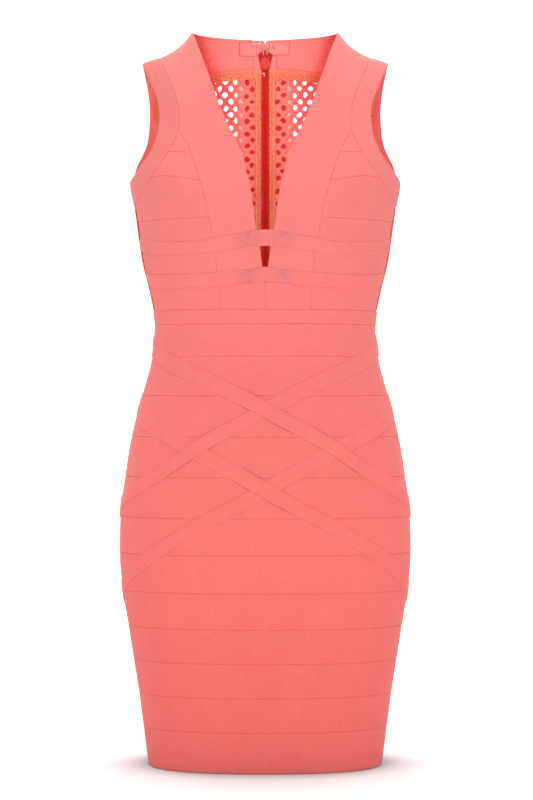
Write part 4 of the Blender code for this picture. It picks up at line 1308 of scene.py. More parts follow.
def yoke_seam_spots():
    places = np.linspace(YOKE_CORNER_ACROSS, ZIP_HALF_GAP, 9)
    return [back_spot(x, YOKE_SEAM_HEIGHT - YOKE_SEAM_DIP * (x / YOKE_CORNER_ACROSS) ** 2)
            for x in places]


YOKE_OPENING = ((2.6, YOKE_TOP_HEIGHT), (1.1, -3.2), (0.06, -6.0), (0.06, -21.0), (0.85, -25.5),
                (ZIP_HALF_GAP, YOKE_SEAM_HEIGHT))


def make_yoke():
    neck = [back_spot(NECK_ACROSS * s, YOKE_TOP_HEIGHT * (1.0 - s)) for s in (0.8, 0.6, 0.4, 0.2)]
    top = Edge([*shoulder_edge(back_spot)[::-1], *neck, back_spot(*YOKE_OPENING[0])])
    at_neck = top.shares[6]
    left = Edge([back_spot(row.seam_across, row.seam_height) for row in reversed(BAND_BACK[7:])])
    rest = zip(left.turn(left.shares), left.height(left.shares))
    left = Edge([back_spot(SHOULDER_SEAM_ACROSS, SHOULDER_SEAM_HEIGHT), *rest])
    spots = patch(left, Edge([back_spot(across, height) for across, height in YOKE_OPENING]),
                  top=top, bottom=Edge(yoke_seam_spots()))
    edges = dict(left="tuck", right="fold", top=[("butt", 0.0, at_neck), ("fold", at_neck, 1.0)],
                 bottom="lap")
    dress_pair("back_yoke", spots, edges, held="hung", inner_material=YOKE_INSIDE_PAINTED_LIGHT)


LATTICE_LEVELS = (-84.0, -127.0, -168.0, -208.0, -246.0, -284.0, WAIST_TOP)


def make_zip_bands():
    levels = (YOKE_SEAM_HEIGHT, -62.0, *LATTICE_LEVELS)
    outer = zip_line(ZIP_BAND_WIDTH, (YOKE_SEAM_HEIGHT - 1.9, *levels[1:]))
    spots = patch(outer, zip_line(ZIP_HALF_GAP, levels))
    edges = dict(LINED, top="tuck", bottom="tuck")
    dress_pair("zip_band", spots, edges, wall=STRAP_WALL, lift=STRAP_LIFT, puff=0.2,
               inner_material=ZIP_BAND_INSIDE_PAINTED_SHADE, rests_on=["back_lattice_{side}"])


make_yoke()
make_zip_bands()
print("yoke:", TRIANGLES["back_yoke_left_cloth"], "triangles")


# %% Zip tapes and neck tabs
ZIP_TAPE_WIDTH = 11.5
TAPE_LIFT, ALLOWANCE_LIFT, TAB_LIFT = -2.05, -2.95, -2.0
TEETH_REACH = 4.9
TAPE_TOP = YOKE_TOP_HEIGHT + (YOKE_SEAM_HEIGHT - YOKE_TOP_HEIGHT) * 0.469
BACK_LEVELS = (YOKE_SEAM_HEIGHT, -84.0, -127.0, -168.0, -208.0, -263.0, WAIST_TOP, -380.0,
               -425.0, -472.0, ZIP_END)
TABS = table(
    "name inner_across outer_across top bottom",
    ("hook_tab_right", 10.5, 31.0, -3.6, -19.0),
    ("eye_tab_left", 1.6, 29.0, -3.0, -17.6),
)


def make_tapes():
    levels = (TAPE_TOP, *BACK_LEVELS)
    spots = patch(zip_line(ZIP_TAPE_WIDTH, levels), zip_line(0.0, levels))
    edges = dict.fromkeys(("left", "right", "top", "bottom"), "butt")
    dress_pair("zip_tape", spots, edges, material=TAPE_RED, wall=0.7, lift=TAPE_LIFT,
               slot="red_zip_tape")


def make_allowances():
    """The folded edges of the back over the tapes: plain at the yoke and overlocked below it."""
    edges = dict(LINED, top="fold", bottom="butt")
    for name, material, reach, levels in (
        ("zip_facing", YOKE_INSIDE_PAINTED_LIGHT, 13.4, (TAPE_TOP + 1.0, -27.0, -35.2)),
        ("zip_allowance", OVERLOCK, 11.9, (-35.0, YOKE_SEAM_HEIGHT, *BACK_LEVELS[1:])),
    ):
        spots = patch(zip_line(reach, levels), zip_line(TEETH_REACH, levels))
        dress_pair(name, spots, edges, material=material, wall=0.9, lift=ALLOWANCE_LIFT, nodes=False)


def make_tabs():
    for tab in TABS:
        levels = (tab.top, (tab.top + tab.bottom) / 2.0, tab.bottom)
        spots = patch(zip_line(tab.outer_across, levels), zip_line(tab.inner_across, levels))
        if tab.name.endswith("right"):
            spots = mirror(spots)
        edges = dict(LINED, top="fold", bottom="fold")
        made, size = cloth_shell(tab.name + "_cloth", spots, edges, CORAL_STRAP, wall=0.95,
                                 lift=TAB_LIFT, puff=-0.1, step=2.5)
        dress_piece(made, size, [tab.name], rests_on=["back_yoke_left_cloth"])


make_tapes()
make_allowances()
make_tabs()
print("pieces so far:", len(TRIANGLES), "with", sum(TRIANGLES.values()), "triangles")

# %% [markdown]
# ## The lattice
#
# The open back is a knit with rows of rounded holes, set like bricks on their corners. One
# tile of it is a diamond with a hole, and the tiles repeat, so Geometry Nodes make it: a
# tree builds the tile, sets a copy at every crossing of two grids, and then lays the flat
# sheet on the back. Sample UV Surface does the laying: it looks up each flat place on a
# carrier, a fine mesh of the panel whose UV map says how far it is round from the zip.

# %% The carrier of the lattice
LATTICE_PITCH = 13.2
LATTICE_STRETCH = 1.14
LATTICE_HOLE = 3.15
LATTICE_RIM = 0.8
LATTICE_THICK = 1.25
LATTICE_ZIP_EDGE = 10.5
LATTICE_REACH = 2.5
LATTICE_CUT = (0.165, 0.29)
LATTICE_MIDDLE = (75.0, -185.0)
LATTICE_COLUMNS, LATTICE_ROWS = 22, 24


def lattice_outline():
    outer = [back_spot(row.seam_across, row.seam_height) for row in reversed(BAND_BACK[:8])]
    outer += [(row.seam_turn, row.seam_height) for row in reversed(BAND_UNDERARM)]
    outer += [(SIDE_SEAM_TURN, level) for level in FRONT_LEVELS]
    levels = (YOKE_SEAM_HEIGHT, *LATTICE_LEVELS)
    inner = zip_line(LATTICE_ZIP_EDGE, levels)
    return patch(Edge(outer), inner, top=Edge([*yoke_seam_spots()[:-1], inner(0.0)]))


def ring_distance(turn, height):
    """How far round the back a spot is from the centre back, in millimetres."""
    steps = np.linspace(0.0, 1.0, 61).reshape((-1,) + (1,) * turn.ndim)
    line = figure(180.0 + (turn - 180.0) * steps, height + 0.0 * steps)
    return np.linalg.norm(np.diff(line, axis=0), axis=-1).sum(axis=0)


def flat_outline():
    """The outline of the panel laid flat: how far round from the zip, and how high."""
    spots = lattice_outline()
    steps = np.linspace(0.0, 1.0, 61)
    sides = [spots(1.0 - steps, 0.0 * steps), spots(0.0 * steps, steps), spots(steps, 0.0 * steps + 1.0)]
    turn, height = np.concatenate(sides, axis=1)
    flat = np.stack([ring_distance(turn, height), height], axis=-1)
    return np.vstack([flat, (-40.0, flat[-1, 1]), (-40.0, flat[0, 1])])


def distance_inside(points, outline):
    """How far each flat point is inside an outline, negative outside it."""
    start, run = outline, np.roll(outline, -1, axis=0) - outline
    away = points[:, None] - start
    along = np.clip((away * run).sum(axis=2) / np.maximum((run ** 2).sum(axis=1), 1e-9), 0.0, 1.0)
    nearest = np.linalg.norm(away - along[..., None] * run, axis=2).min(axis=1)
    above = (start[:, 1] > points[:, None, 1]) != (start[:, 1] + run[:, 1] > points[:, None, 1])
    rise = np.where(run[:, 1] == 0.0, 1.0, run[:, 1])
    crossed = above & (away[..., 0] < away[..., 1] * run[:, 0] / rise)
    return np.where(crossed.sum(axis=1) % 2 == 1, nearest, -nearest)


def make_carrier(side):
    """A mesh of the back panel, a little larger than it, that isn't part of the dress."""
    turn, height = np.meshgrid(np.linspace(68.0, 179.7, 76), np.linspace(-352.0, -14.0, 114))
    distance = ring_distance(turn, height)
    flat = np.stack([distance, height], axis=-1).reshape(-1, 2)
    inside = distance_inside(flat, flat_outline()).reshape(turn.shape)
    offset = creased(turn, height) - TUCK_DEPTH * (1.0 - smooth_step((inside + 0.6) / 4.0))
    room = np.minimum(inside, distance - LATTICE_ZIP_EDGE + 1.2) + LATTICE_REACH
    sign = 1.0 if side == "left" else -1.0
    turn = sign * turn
    place = figure(turn, height) + outward(turn, height) * offset[..., None]
    index = np.arange(turn.size).reshape(turn.shape)
    corners = [index[:-1, :-1], index[:-1, 1:], index[1:, 1:], index[1:, :-1]]
    faces = np.stack(corners, axis=-1).reshape(-1, 4)
    carrier = add_mesh(f"lattice_carrier_{side}", place.reshape(-1, 3), faces, [])
    set_uv(carrier.data, (flat * (sign, 1.0) * MM)[faces])
    for label, values, kind, field in (
        ("out", outward(turn, height).reshape(-1, 3), "FLOAT_VECTOR", "vector"),
        ("room", room.reshape(-1), "FLOAT", "value"),
    ):
        fill(carrier.data.attributes.new(label, kind, "POINT"), field, values)
    return carrier


# %% The tree that knits the lattice
def make_lattice_tree():
    board, given, end = new_group(
        "GeometryNodeTree",
        "knit_lattice",
        [
            ("Geometry", "NodeSocketGeometry", None),
            ("Carrier", "NodeSocketObject", None),
            ("Pitch", "NodeSocketFloat", LATTICE_PITCH * MM),
            ("Stretch", "NodeSocketFloat", LATTICE_STRETCH),
            ("Hole", "NodeSocketFloat", LATTICE_HOLE * MM),
            ("Rim", "NodeSocketFloat", LATTICE_RIM * MM),
            ("Thickness", "NodeSocketFloat", LATTICE_THICK * MM),
            ("Columns", "NodeSocketInt", 24),
            ("Rows", "NodeSocketInt", 24),
            ("Start", "NodeSocketVector", None),
            ("Unevenness", "NodeSocketFloat", 6.0 * MM),
            ("Material", "NodeSocketMaterial", None),
        ],
        [("Geometry", "NodeSocketGeometry")],
    )
    # one tile: round the hole in 16 steps, and over its rim in 5
    strip = board.node(
        "GeometryNodeMeshGrid", {"Size X": 1.0, "Size Y": 1.0, "Vertices X": 17, "Vertices Y": 6}
    ).outputs["Mesh"]
    here = board.node("ShaderNodeSeparateXYZ", {"Vector": board.out("GeometryNodeInputPosition")})
    angle = board.times(board.plus(here.outputs["X"], 0.5), 2.0 * math.pi)
    over = board.times(board.plus(here.outputs["Y"], 0.5), 5.0)
    cosine, sine = board.math("COSINE", angle), board.math("SINE", angle)
    flat_cos, flat_sin = board.size(cosine), board.size(sine)
    diamond = board.over(board.times(given["Pitch"], 0.5),
                         board.plus(flat_cos, flat_sin))
    soft = board.plus(board.math("POWER", flat_cos, 1.4), board.math("POWER", flat_sin, 1.4))
    hole = board.over(given["Hole"], board.math("POWER", soft, 1.0 / 1.4))
    bend = board.between(over, 1.0, 4.0, 0.0, math.pi)
    rim = board.times(given["Rim"], board.minus(1.0, board.math("SINE", bend)))
    on_edge = board.math("GREATER_THAN", board.size(board.minus(over, 2.5)), 2.0)
    ring = board.plus(hole, rim)
    reach = board.plus(board.times(on_edge, diamond),
                       board.times(board.minus(1.0, on_edge), ring))
    stretched = board.times(on_edge, board.minus(given["Stretch"], 1.0))
    tall = board.plus(1.0, stretched)
    half = board.times(given["Thickness"], 0.5)
    level = board.times(half, board.minus(board.math("COSINE", bend), 1.0))
    spot = board.join(board.times(reach, cosine), board.times(board.times(reach, sine), tall), level)
    tile = board.out("GeometryNodeSetPosition", {"Geometry": strip, "Position": spot})
    # two grids of crossings, half a pitch apart
    grids = board.node("GeometryNodeJoinGeometry")
    for shift in (0.0, 0.5):
        size = [board.times(board.minus(given[c], 1.0), given["Pitch"])
                for c in ("Columns", "Rows")]
        grid = board.node("GeometryNodeMeshGrid", {
            "Size X": size[0], "Size Y": board.times(size[1], given["Stretch"]),
            "Vertices X": given["Columns"], "Vertices Y": given["Rows"],
        }).outputs["Mesh"]
        half_pitch = board.times(given["Pitch"], shift)
        step = board.join(half_pitch, board.times(half_pitch, given["Stretch"]))
        moved = board.node("GeometryNodeTransform", {
            "Geometry": grid, "Translation": board.vector("ADD", given["Start"], step)})
        board.tree.links.new(moved.outputs[0], grids.inputs[0])
    carrier = board.node("GeometryNodeObjectInfo", {"Object": given["Carrier"]}).outputs["Geometry"]

    def look_up(value, kind):
        made = board.node("GeometryNodeSampleUVSurface", data_type=kind)
        position = board.out("GeometryNodeInputPosition")
        for key, plugged in (("Mesh", carrier), ("Value", value),
                             ("Source UV Map", board.named("cut", "FLOAT_VECTOR")),
                             ("Sample UV", position)):
            board.plug(plugged, made.inputs[key])
        return made.outputs["Value"]

    outside = board.math("LESS_THAN", look_up(board.named("room", "FLOAT"), "FLOAT"), 0.01)
    kept = board.node("GeometryNodeDeleteGeometry",
                      {"Geometry": grids.outputs[0], "Selection": outside}).outputs[0]
    set_out = board.out("GeometryNodeInstanceOnPoints", {"Points": kept, "Instance": tile})
    sheet = board.out("GeometryNodeRealizeInstances", {"Geometry": set_out})
    sheet = board.out("GeometryNodeMergeByDistance", {"Geometry": sheet, "Distance": 0.00005})
    flat = board.out("GeometryNodeInputPosition")
    sheet = board.node("GeometryNodeStoreNamedAttribute", {"Geometry": sheet, "Name": "flat", "Value": flat},
                       data_type="FLOAT_VECTOR", domain="POINT").outputs[0]
    sheet = board.node("GeometryNodeStoreNamedAttribute", {"Geometry": sheet, "Name": "cut", "Value": flat},
                       data_type="FLOAT2", domain="CORNER").outputs[0]
    depth = board.split(flat)["Z"]
    spread = board.vector("MULTIPLY", flat, (1.0, 1.0, 0.0))
    ripple = board.node("ShaderNodeTexNoise", {"Vector": spread, "Scale": 85.0, "Detail": 1.0})
    ripple = board.vector("SUBTRACT", ripple.outputs["Color"], (0.5, 0.5, 0.5))
    ripple = board.vector("MULTIPLY", ripple, (1.0, 1.0, 0.0))
    ripple = board.scaled(ripple, given["Unevenness"])
    sheet = board.out("GeometryNodeSetPosition", {"Geometry": sheet, "Offset": ripple})
    away = board.scaled(look_up(board.named("out", "FLOAT_VECTOR"), "FLOAT_VECTOR"), depth)
    place = look_up(board.out("GeometryNodeInputPosition"), "FLOAT_VECTOR")
    laid = board.out("GeometryNodeSetPosition",
                     {"Geometry": sheet, "Position": board.vector("ADD", place, away)})
    return board.finish(laid, given["Material"], end)


def grow(name, base, tree, values):
    """Runs a Geometry Nodes tree on an object and keeps the result as a plain mesh."""
    grower = base.modifiers.new("grow", "NODES")
    grower.node_group = tree
    for item in tree.interface.items_tree:
        if item.item_type == "SOCKET" and item.in_out == "INPUT" and item.name in values:
            grower[item.identifier] = values[item.name]
    bpy.context.view_layer.update()
    seen = base.evaluated_get(bpy.context.evaluated_depsgraph_get())
    mesh = bpy.data.meshes.new_from_object(seen)
    mesh.name = name
    base.modifiers.remove(grower)
    mesh.shade_smooth()
    return link_mesh(name, mesh)


def remove(*helpers):
    for helper in helpers:
        data = helper.data
        bpy.data.objects.remove(helper)
        bpy.data.meshes.remove(data)


# %% Knitting both sides
def close_cut_edges(mesh):
    """Joins the outer face to the inner one all along the cut edge of the lattice."""
    flat = np.zeros(len(mesh.vertices) * 3, np.float32)
    mesh.attributes["flat"].data.foreach_get("vector", flat)
    flat = flat.reshape(-1, 3)
    twins = {}
    for index, (x, y, z) in enumerate(flat):
        if abs(z) < 1e-6 or abs(z + LATTICE_THICK * MM) < 1e-6:
            twins.setdefault((round(x * 2e4), round(y * 2e4)), {})[z > -1e-6] = index
    used = {}
    for face in mesh.polygons:
        for a, b in face.edge_keys:
            used[(a, b)] = used.get((a, b), 0) + 1
    walls = []
    for face in mesh.polygons:
        corners = list(face.vertices)
        for a, b in zip(corners, corners[1:] + corners[:1]):
            if used[tuple(sorted((a, b)))] > 1 or flat[a][2] < -1e-6 or flat[b][2] < -1e-6:
                continue
            low_a = twins[(round(flat[a][0] * 2e4), round(flat[a][1] * 2e4))].get(False)
            low_b = twins[(round(flat[b][0] * 2e4), round(flat[b][1] * 2e4))].get(False)
            if low_a is not None and low_b is not None:
                walls.append((b, a, low_a, low_b))
    return walls


def make_lattices():
    tree = make_lattice_tree()
    for side, sign in (("left", 1.0), ("right", -1.0)):
        carrier = make_carrier(side)
        seed = add_mesh("seed", [(0, 0, 0)], [], [])
        start = Vector((sign * LATTICE_MIDDLE[0] * MM, LATTICE_MIDDLE[1] * MM, 0.0))
        grown = grow(f"back_lattice_{side}_open", seed, tree, {
            "Carrier": carrier, "Columns": LATTICE_COLUMNS, "Rows": LATTICE_ROWS, "Start": start,
            "Material": CORAL_LATTICE})
        walls = close_cut_edges(grown.data)
        uv = np.zeros(len(grown.data.loops) * 2, np.float32)
        grown.data.uv_layers["cut"].data.foreach_get("uv", uv)
        points = np.array([v.co for v in grown.data.vertices]) / MM
        seam = YOKE_SEAM_HEIGHT - YOKE_SEAM_DIP * (points[:, 0] / YOKE_CORNER_ACROSS) ** 2
        pressed = 0.88 * np.maximum(points[:, 2] - seam - 3.6, 0.0)
        points += pressed[:, None] * (0.0, 0.4, -1.0)
        faces = [tuple(p.vertices) for p in grown.data.polygons] + walls
        mesh = bpy.data.meshes.new(f"back_lattice_{side}_cloth")
        mesh.from_pydata((points * MM).tolist(), [], faces)
        set_uv(mesh, np.concatenate([uv, np.zeros(len(walls) * 8, np.float32)]))
        mesh.materials.append(CORAL_LATTICE)
        mesh.shade_smooth()
        made = link_mesh(mesh.name, mesh)
        half = sum(p.area for p in mesh.polygons) / 2.0
        dress_piece(made, LATTICE_CUT, [f"back_lattice_{side}"],
                    area=cut_from(half, *LATTICE_CUT))
        remove(carrier, seed, grown)
        print(side, "lattice:", len(faces), "faces,", round(half * 1e4), "square centimetres")


make_lattices()

# %% [markdown]
# ## Overlock stitches, zip teeth and tab stitching
#
# Raw edges inside the dress are overlocked: a machine wraps zigzag threads round them. A
# zigzag follows a path, so a Geometry Nodes tree makes it. The path is a line of points that
# carries two directions with it: side, across the seam in the cloth, and out, away from the
# cloth. The tree steps along the line, swings every other point to the other side, and gives
# the thread its thickness. The teeth of the zip and the running stitches repeat in the same
# way, but as short pieces set along the line.


# %% Paths that carry their directions
def path_on_cloth(name, edge, shift=0.0, depth=0.0, step=1.0, flip=1.0):
    """A line along an edge, shift mm to its side and depth mm in from the cloth's face."""
    rough = np.linspace(0.0, 1.0, 40)
    length = np.linalg.norm(np.diff(figure(*edge(rough).T), axis=0), axis=1).sum()
    share = np.linspace(0.0, 1.0, max(8, round(length / step)))
    turn, height = edge(share).T
    out = outward(turn, height)
    base = figure(turn, height)
    along = unit(np.gradient(base, axis=0))
    side = unit(np.cross(out, along)) * flip
    points = base + side * shift - out * depth + out * creased(turn, height)[:, None]
    mesh = bpy.data.meshes.new(name)
    mesh.from_pydata((points * MM).tolist(), [(k, k + 1) for k in range(len(points) - 1)], [])
    for label, values in (("side", side), ("out", out)):
        fill(mesh.attributes.new(label, "FLOAT_VECTOR", "POINT"), "vector", values)
    return link_mesh(name, mesh)


def mirrored_edge(edge):
    return lambda share: edge(share) * np.array([-1.0, 1.0])


# %% The trees for threads and for set pieces
def make_zigzag_tree():
    board, given, end = new_group(
        "GeometryNodeTree",
        "zigzag_threads",
        [
            ("Geometry", "NodeSocketGeometry", None),
            ("Pitch", "NodeSocketFloat", 2.4 * MM),
            ("Reach", "NodeSocketFloat", 2.5 * MM),
            ("Thread", "NodeSocketFloat", 0.28 * MM),
            ("Unevenness", "NodeSocketFloat", 0.5 * MM),
            ("Material", "NodeSocketMaterial", None),
        ],
        [("Geometry", "NodeSocketGeometry")],
    )
    line = board.out("GeometryNodeMeshToCurve", {"Mesh": given["Geometry"]})
    threads = board.node("GeometryNodeJoinGeometry")
    for phase, lift, seed in ((0.0, 0.35, 3), (1.0, 0.6, 8)):
        steps = board.node("GeometryNodeResampleCurve",
                           {"Curve": line, "Length": board.times(given["Pitch"], 0.5)},
                           mode="LENGTH").outputs[0]
        index = board.out("GeometryNodeInputIndex")
        swing = board.math("PINGPONG", board.plus(index, phase), 1.0)
        swing = board.minus(board.times(swing, 2.0), 1.0)
        jitter = board.node("FunctionNodeRandomValue", {"Seed": seed}, data_type="FLOAT")
        jitter = board.times(board.minus(jitter.outputs[1], 0.5), given["Unevenness"])
        reach = board.plus(board.times(swing, given["Reach"]), jitter)
        across = board.scaled(board.named("side", "FLOAT_VECTOR"), reach)
        up = board.scaled(board.named("out", "FLOAT_VECTOR"), -lift * MM)
        moved = board.out("GeometryNodeSetPosition",
                          {"Geometry": steps, "Offset": board.vector("ADD", across, up)})
        board.tree.links.new(moved, threads.inputs[0])
    ring = board.node("GeometryNodeCurvePrimitiveCircle", {"Resolution": 5, "Radius": given["Thread"]})
    tube = board.out("GeometryNodeCurveToMesh", {
        "Curve": threads.outputs[0], "Profile Curve": ring.outputs[0], "Fill Caps": True})
    return board.finish(tube, given["Material"], end)


def make_stitch_tree():
    """Short bars set along a line: stitches lie along it and zip teeth lie across it."""
    board, given, end = new_group(
        "GeometryNodeTree",
        "bars_along_a_line",
        [
            ("Geometry", "NodeSocketGeometry", None),
            ("Pitch", "NodeSocketFloat", 2.6 * MM),
            ("Length", "NodeSocketFloat", 1.8 * MM),
            ("Radius", "NodeSocketFloat", 0.22 * MM),
            ("Swing", "NodeSocketFloat", 0.0),
            ("Across", "NodeSocketFloat", 0.0),
            ("Material", "NodeSocketMaterial", None),
        ],
        [("Geometry", "NodeSocketGeometry")],
    )
    line = board.out("GeometryNodeMeshToCurve", {"Mesh": given["Geometry"]})
    steps = board.node("GeometryNodeResampleCurve", {"Curve": line, "Length": given["Pitch"]},
                       mode="LENGTH").outputs[0]
    bar = board.node("GeometryNodeMeshUVSphere", {"Segments": 6, "Rings": 5, "Radius": 1.0}).outputs["Mesh"]
    size = board.join(given["Radius"], given["Radius"], board.times(given["Length"], 0.5))
    bar = board.out("GeometryNodeTransform", {"Geometry": bar, "Scale": size})
    index = board.out("GeometryNodeInputIndex")
    parity = board.minus(board.times(board.math("PINGPONG", index, 1.0), 2.0), 1.0)
    swing = board.scaled(board.named("side", "FLOAT_VECTOR"), board.times(parity, given["Swing"]))
    moved = board.out("GeometryNodeSetPosition", {"Geometry": steps, "Offset": swing})
    tangent = board.out("GeometryNodeInputTangent")
    aim = board.node("ShaderNodeMix", data_type="VECTOR")
    for value, place in ((given["Across"], 0), (tangent, 4), (board.named("side", "FLOAT_VECTOR"), 5)):
        board.plug(value, aim.inputs[place])
    turn = board.node("FunctionNodeAlignRotationToVector", {"Vector": aim.outputs[1]}, axis="Z")
    bars = board.out("GeometryNodeInstanceOnPoints",
                     {"Points": moved, "Instance": bar, "Rotation": turn.outputs[0]})
    return board.finish(bars, given["Material"], end)


ZIGZAG = make_zigzag_tree()
BARS = make_stitch_tree()
print("trees:", ZIGZAG.name, "and", BARS.name)


def sew(name, path, tree, material, body="dress", slot="coral_knit", **values):
    """Grows threads or bars along a path and rides them on the dress."""
    inputs = {key.title(): value * MM for key, value in values.items()}
    if "Across" in inputs:
        inputs["Across"] = values["across"]
    made = grow(name, path, tree, dict(inputs, Material=material))
    made.data.materials.clear()
    made.data.materials.append(material)
    remove(path)
    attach(made, body)
    count_triangles(made)


# %% Overlock threads inside the dress
def overlock_edge():
    """The seam under the yoke, from the armhole in to the zip."""
    return Edge([*yoke_seam_spots()[:-1], back_spot(10.2, YOKE_SEAM_HEIGHT)])


OVERLOCK_LIFT = -2.6
STRIP_ABOVE, STRIP_WIDTH = 7.2, 12.0
STRIP_HEIGHTS = (-70.0, -80.0, -90.0, -101.0)
STRIP_OUTER, STRIP_INNER = 131.8, 117.0
STRIP_BEND, STRIP_MIDDLE = 0.012, -85.0


def overlocked_strip(name, spots, material, rests_on):
    """A narrow strip of overlocked cloth inside the dress, on each side of it."""
    ends = dict(LINED, top="fold", bottom="fold")
    for side, side_spots in (("left", spots), ("right", mirror(spots))):
        made, size = cloth_shell(f"{name}_{side}", side_spots, ends, material, wall=0.8,
                                 lift=OVERLOCK_LIFT, step=2.5)
        dress_piece(made, size, [], rests_on=[f"{rests_on}_{side}_cloth"])


def yoke_strip(u, v):
    found = overlock_edge()(u)
    return found[..., 0], found[..., 1] + STRIP_ABOVE - STRIP_WIDTH * v


def armhole_strip_edge(across):
    return Edge([back_spot(across - STRIP_BEND * (height - STRIP_MIDDLE) ** 2, height)
                 for height in STRIP_HEIGHTS])


overlocked_strip("yoke_overlock", yoke_strip, OVERLOCK_SEAM, "back_yoke")
overlocked_strip("armhole_overlock", patch(armhole_strip_edge(STRIP_INNER), armhole_strip_edge(STRIP_OUTER)),
                 OVERLOCK_ARMHOLE, "armhole_band")
levels = (-36.0, YOKE_SEAM_HEIGHT, *BACK_LEVELS[1:])
PATHS = (
    ("yoke_seam_threads", overlock_edge(), 0.6, 3.4, 5.0),
    ("zip_edge_threads", zip_line(7.6, levels), 0.0, 3.9, 2.5),
)
for name, edge, shift, depth, reach in PATHS:
    for side, run in (("left", edge), ("right", mirrored_edge(edge))):
        turned = 1.0 if side == "left" else -1.0
        path = path_on_cloth("path", run, shift, depth, flip=turned)
        sew(f"{name}_{side}", path, ZIGZAG, THREAD_ORANGE, reach=reach, pitch=2.6, unevenness=1.4)
print("overlock threads:", TRIANGLES["yoke_seam_threads_left"], "triangles")

# %% Zip teeth
teeth = zip_line(0.0, (-36.0, *BACK_LEVELS))
path = path_on_cloth("path", teeth, 0.0, 2.95)
sew("zip_teeth", path, BARS, TOOTH_RED, slot="red_zip_tape", pitch=1.35, length=4.2, radius=0.46,
    swing=0.35, across=1.0)
print("zip teeth:", TRIANGLES["zip_teeth"], "triangles")

# %% Running stitches on the tabs and the facing
def stitch_box(name, tab, inset, sign, thread, length):
    corners = [
        (tab.inner_across + inset, tab.top - inset),
        (tab.outer_across - inset, tab.top - inset),
        (tab.outer_across - inset, tab.bottom + inset),
        (tab.inner_across + inset, tab.bottom + inset),
    ]
    for k, (start, stop) in enumerate(zip(corners, corners[1:] + corners[:1])):
        wide, tall = stop[0] - start[0], stop[1] - start[1]
        spots = [back_spot(sign * (start[0] + wide * t), start[1] + tall * t)
                 for t in np.linspace(0.0, 1.0, 5)]
        path = path_on_cloth("path", Edge(spots), 0.0, 3.0)
        # The dark overcast is thicker along the lower edge: partly stitches, partly painted shade under the
        # tab's edge.
        radius = 0.36 if k == 2 and thread is THREAD_DARK else 0.2
        sew(f"{name}_{k + 1}", path, BARS, thread, pitch=2.3, length=length, radius=radius)


for name, tab, sign in (("eye_tab", TABS[1], 1.0), ("hook_tab", TABS[0], -1.0)):
    stitch_box(name + "_overcast", tab, 0.5, sign, THREAD_DARK, 2.0)
    stitch_box(name + "_stitches", tab, 2.8, sign, THREAD_CORAL, 1.7)
for side, sign in (("left", 1.0), ("right", -1.0)):
    facing = zip_line(23.8, (-19.5, -25.0, -30.0))
    path = path_on_cloth("path", facing if sign > 0 else mirrored_edge(facing), 0.0, 1.35)
    sew(f"yoke_facing_stitches_{side}", path, BARS, THREAD_CORAL, pitch=2.4, length=1.8, radius=0.2)
    # Dark thread loops along the allowances by the teeth: partly stitches, partly painted shade at those
    # edges.
    allowance = zip_line(4.95, (-37.0, *BACK_LEVELS))
    path = path_on_cloth("path", allowance if sign > 0 else mirrored_edge(allowance), 0.0, 3.75)
    sew(f"zip_edge_loops_{side}", path, BARS, THREAD_DARK, slot="red_zip_tape", pitch=3.7, length=2.1,
        radius=0.42, swing=0.5)
print("pieces so far:", len(TRIANGLES))

# %% [markdown]
# ## The slider, its pull and the hook and eye
#
# The slider's heart and the pull's tongue are lacquered metal, so they're made as soft
# slabs: an outline, filled by rings that step down over a rounded edge. The wires are swept
# along a smooth curve through the places where they bend.

# %% Shapes of hard trim
SLIDER_FACE = -4.9
PIVOT_OUT, PIVOT_UP = 2.6, 2.0


def slider_place():
    """The slider's frame: X across, Y out of the back and Z up along the zip."""
    top = Vector(figure(180.0, TAPE_TOP)) * MM
    low = Vector(figure(180.0, YOKE_SEAM_HEIGHT)) * MM
    up = (top - low).normalized()
    out = Vector((0.0, up.z, -up.y))
    turn = Matrix((Vector((1.0, 0.0, 0.0)), out, up)).transposed()
    return Matrix.Translation((top + low) / 2.0) @ turn.to_4x4()


def arc(across, up, radius, start, end, steps):
    angle = np.radians(np.linspace(start, end, steps + 1))
    return np.stack([across + radius * np.cos(angle), up + radius * np.sin(angle)], axis=1)


def inset(outline, by):
    """Moves an anticlockwise outline in along its own normals."""
    along = np.roll(outline, -1, axis=0) - np.roll(outline, 1, axis=0)
    along /= np.maximum(np.linalg.norm(along, axis=1), 1e-9)[:, None]
    return outline + by * np.stack([-along[:, 1], along[:, 0]], axis=1)


def soft_slab(outline, low, high, radius, axis="Y", hole=None, dish=0.0):
    """Rings of an outline from face to face with rounded edges; a hole turns it into a frame."""
    bends = np.radians([90.0, 60.0, 30.0, 0.0])
    levels = [(radius * (1 - math.cos(b)), low + radius * (1 - math.sin(b))) for b in bends]
    levels += [(radius * (1 - math.cos(b)), high - radius * (1 - math.sin(b))) for b in bends[::-1]]
    rings = [(inset(outline, by), level) for by, level in levels]
    if hole is not None:
        rings += [(inset(hole, -by), level) for by, level in levels[::-1]]
    else:
        for share, sink in ((0.8, 0.6), (0.5, 1.0)):
            centre = outline.mean(axis=0)
            rings.append((centre + (inset(outline, radius) - centre) * share, high - dish * sink))
            rings.insert(0, (centre + (inset(outline, radius) - centre) * share, low + dish * sink))
    count = len(outline)
    points = []
    for ring, level in rings:
        for a, b in ring:
            points.append((level, a, b) if axis == "X" else (a, level, b))
    faces = []
    steps = len(rings) if hole is not None else len(rings) - 1
    for k in range(steps):
        for n in range(count):
            here, ahead = n, (n + 1) % count
            base, above = k * count, ((k + 1) % len(rings)) * count
            faces.append((base + here, base + ahead, above + ahead, above + here))
    if hole is None:
        faces.append(tuple(range(count - 1, -1, -1)))
        faces.append(tuple(range((len(rings) - 1) * count, len(rings) * count)))
    if axis == "Y":
        faces = [face[::-1] for face in faces]
    return points, faces


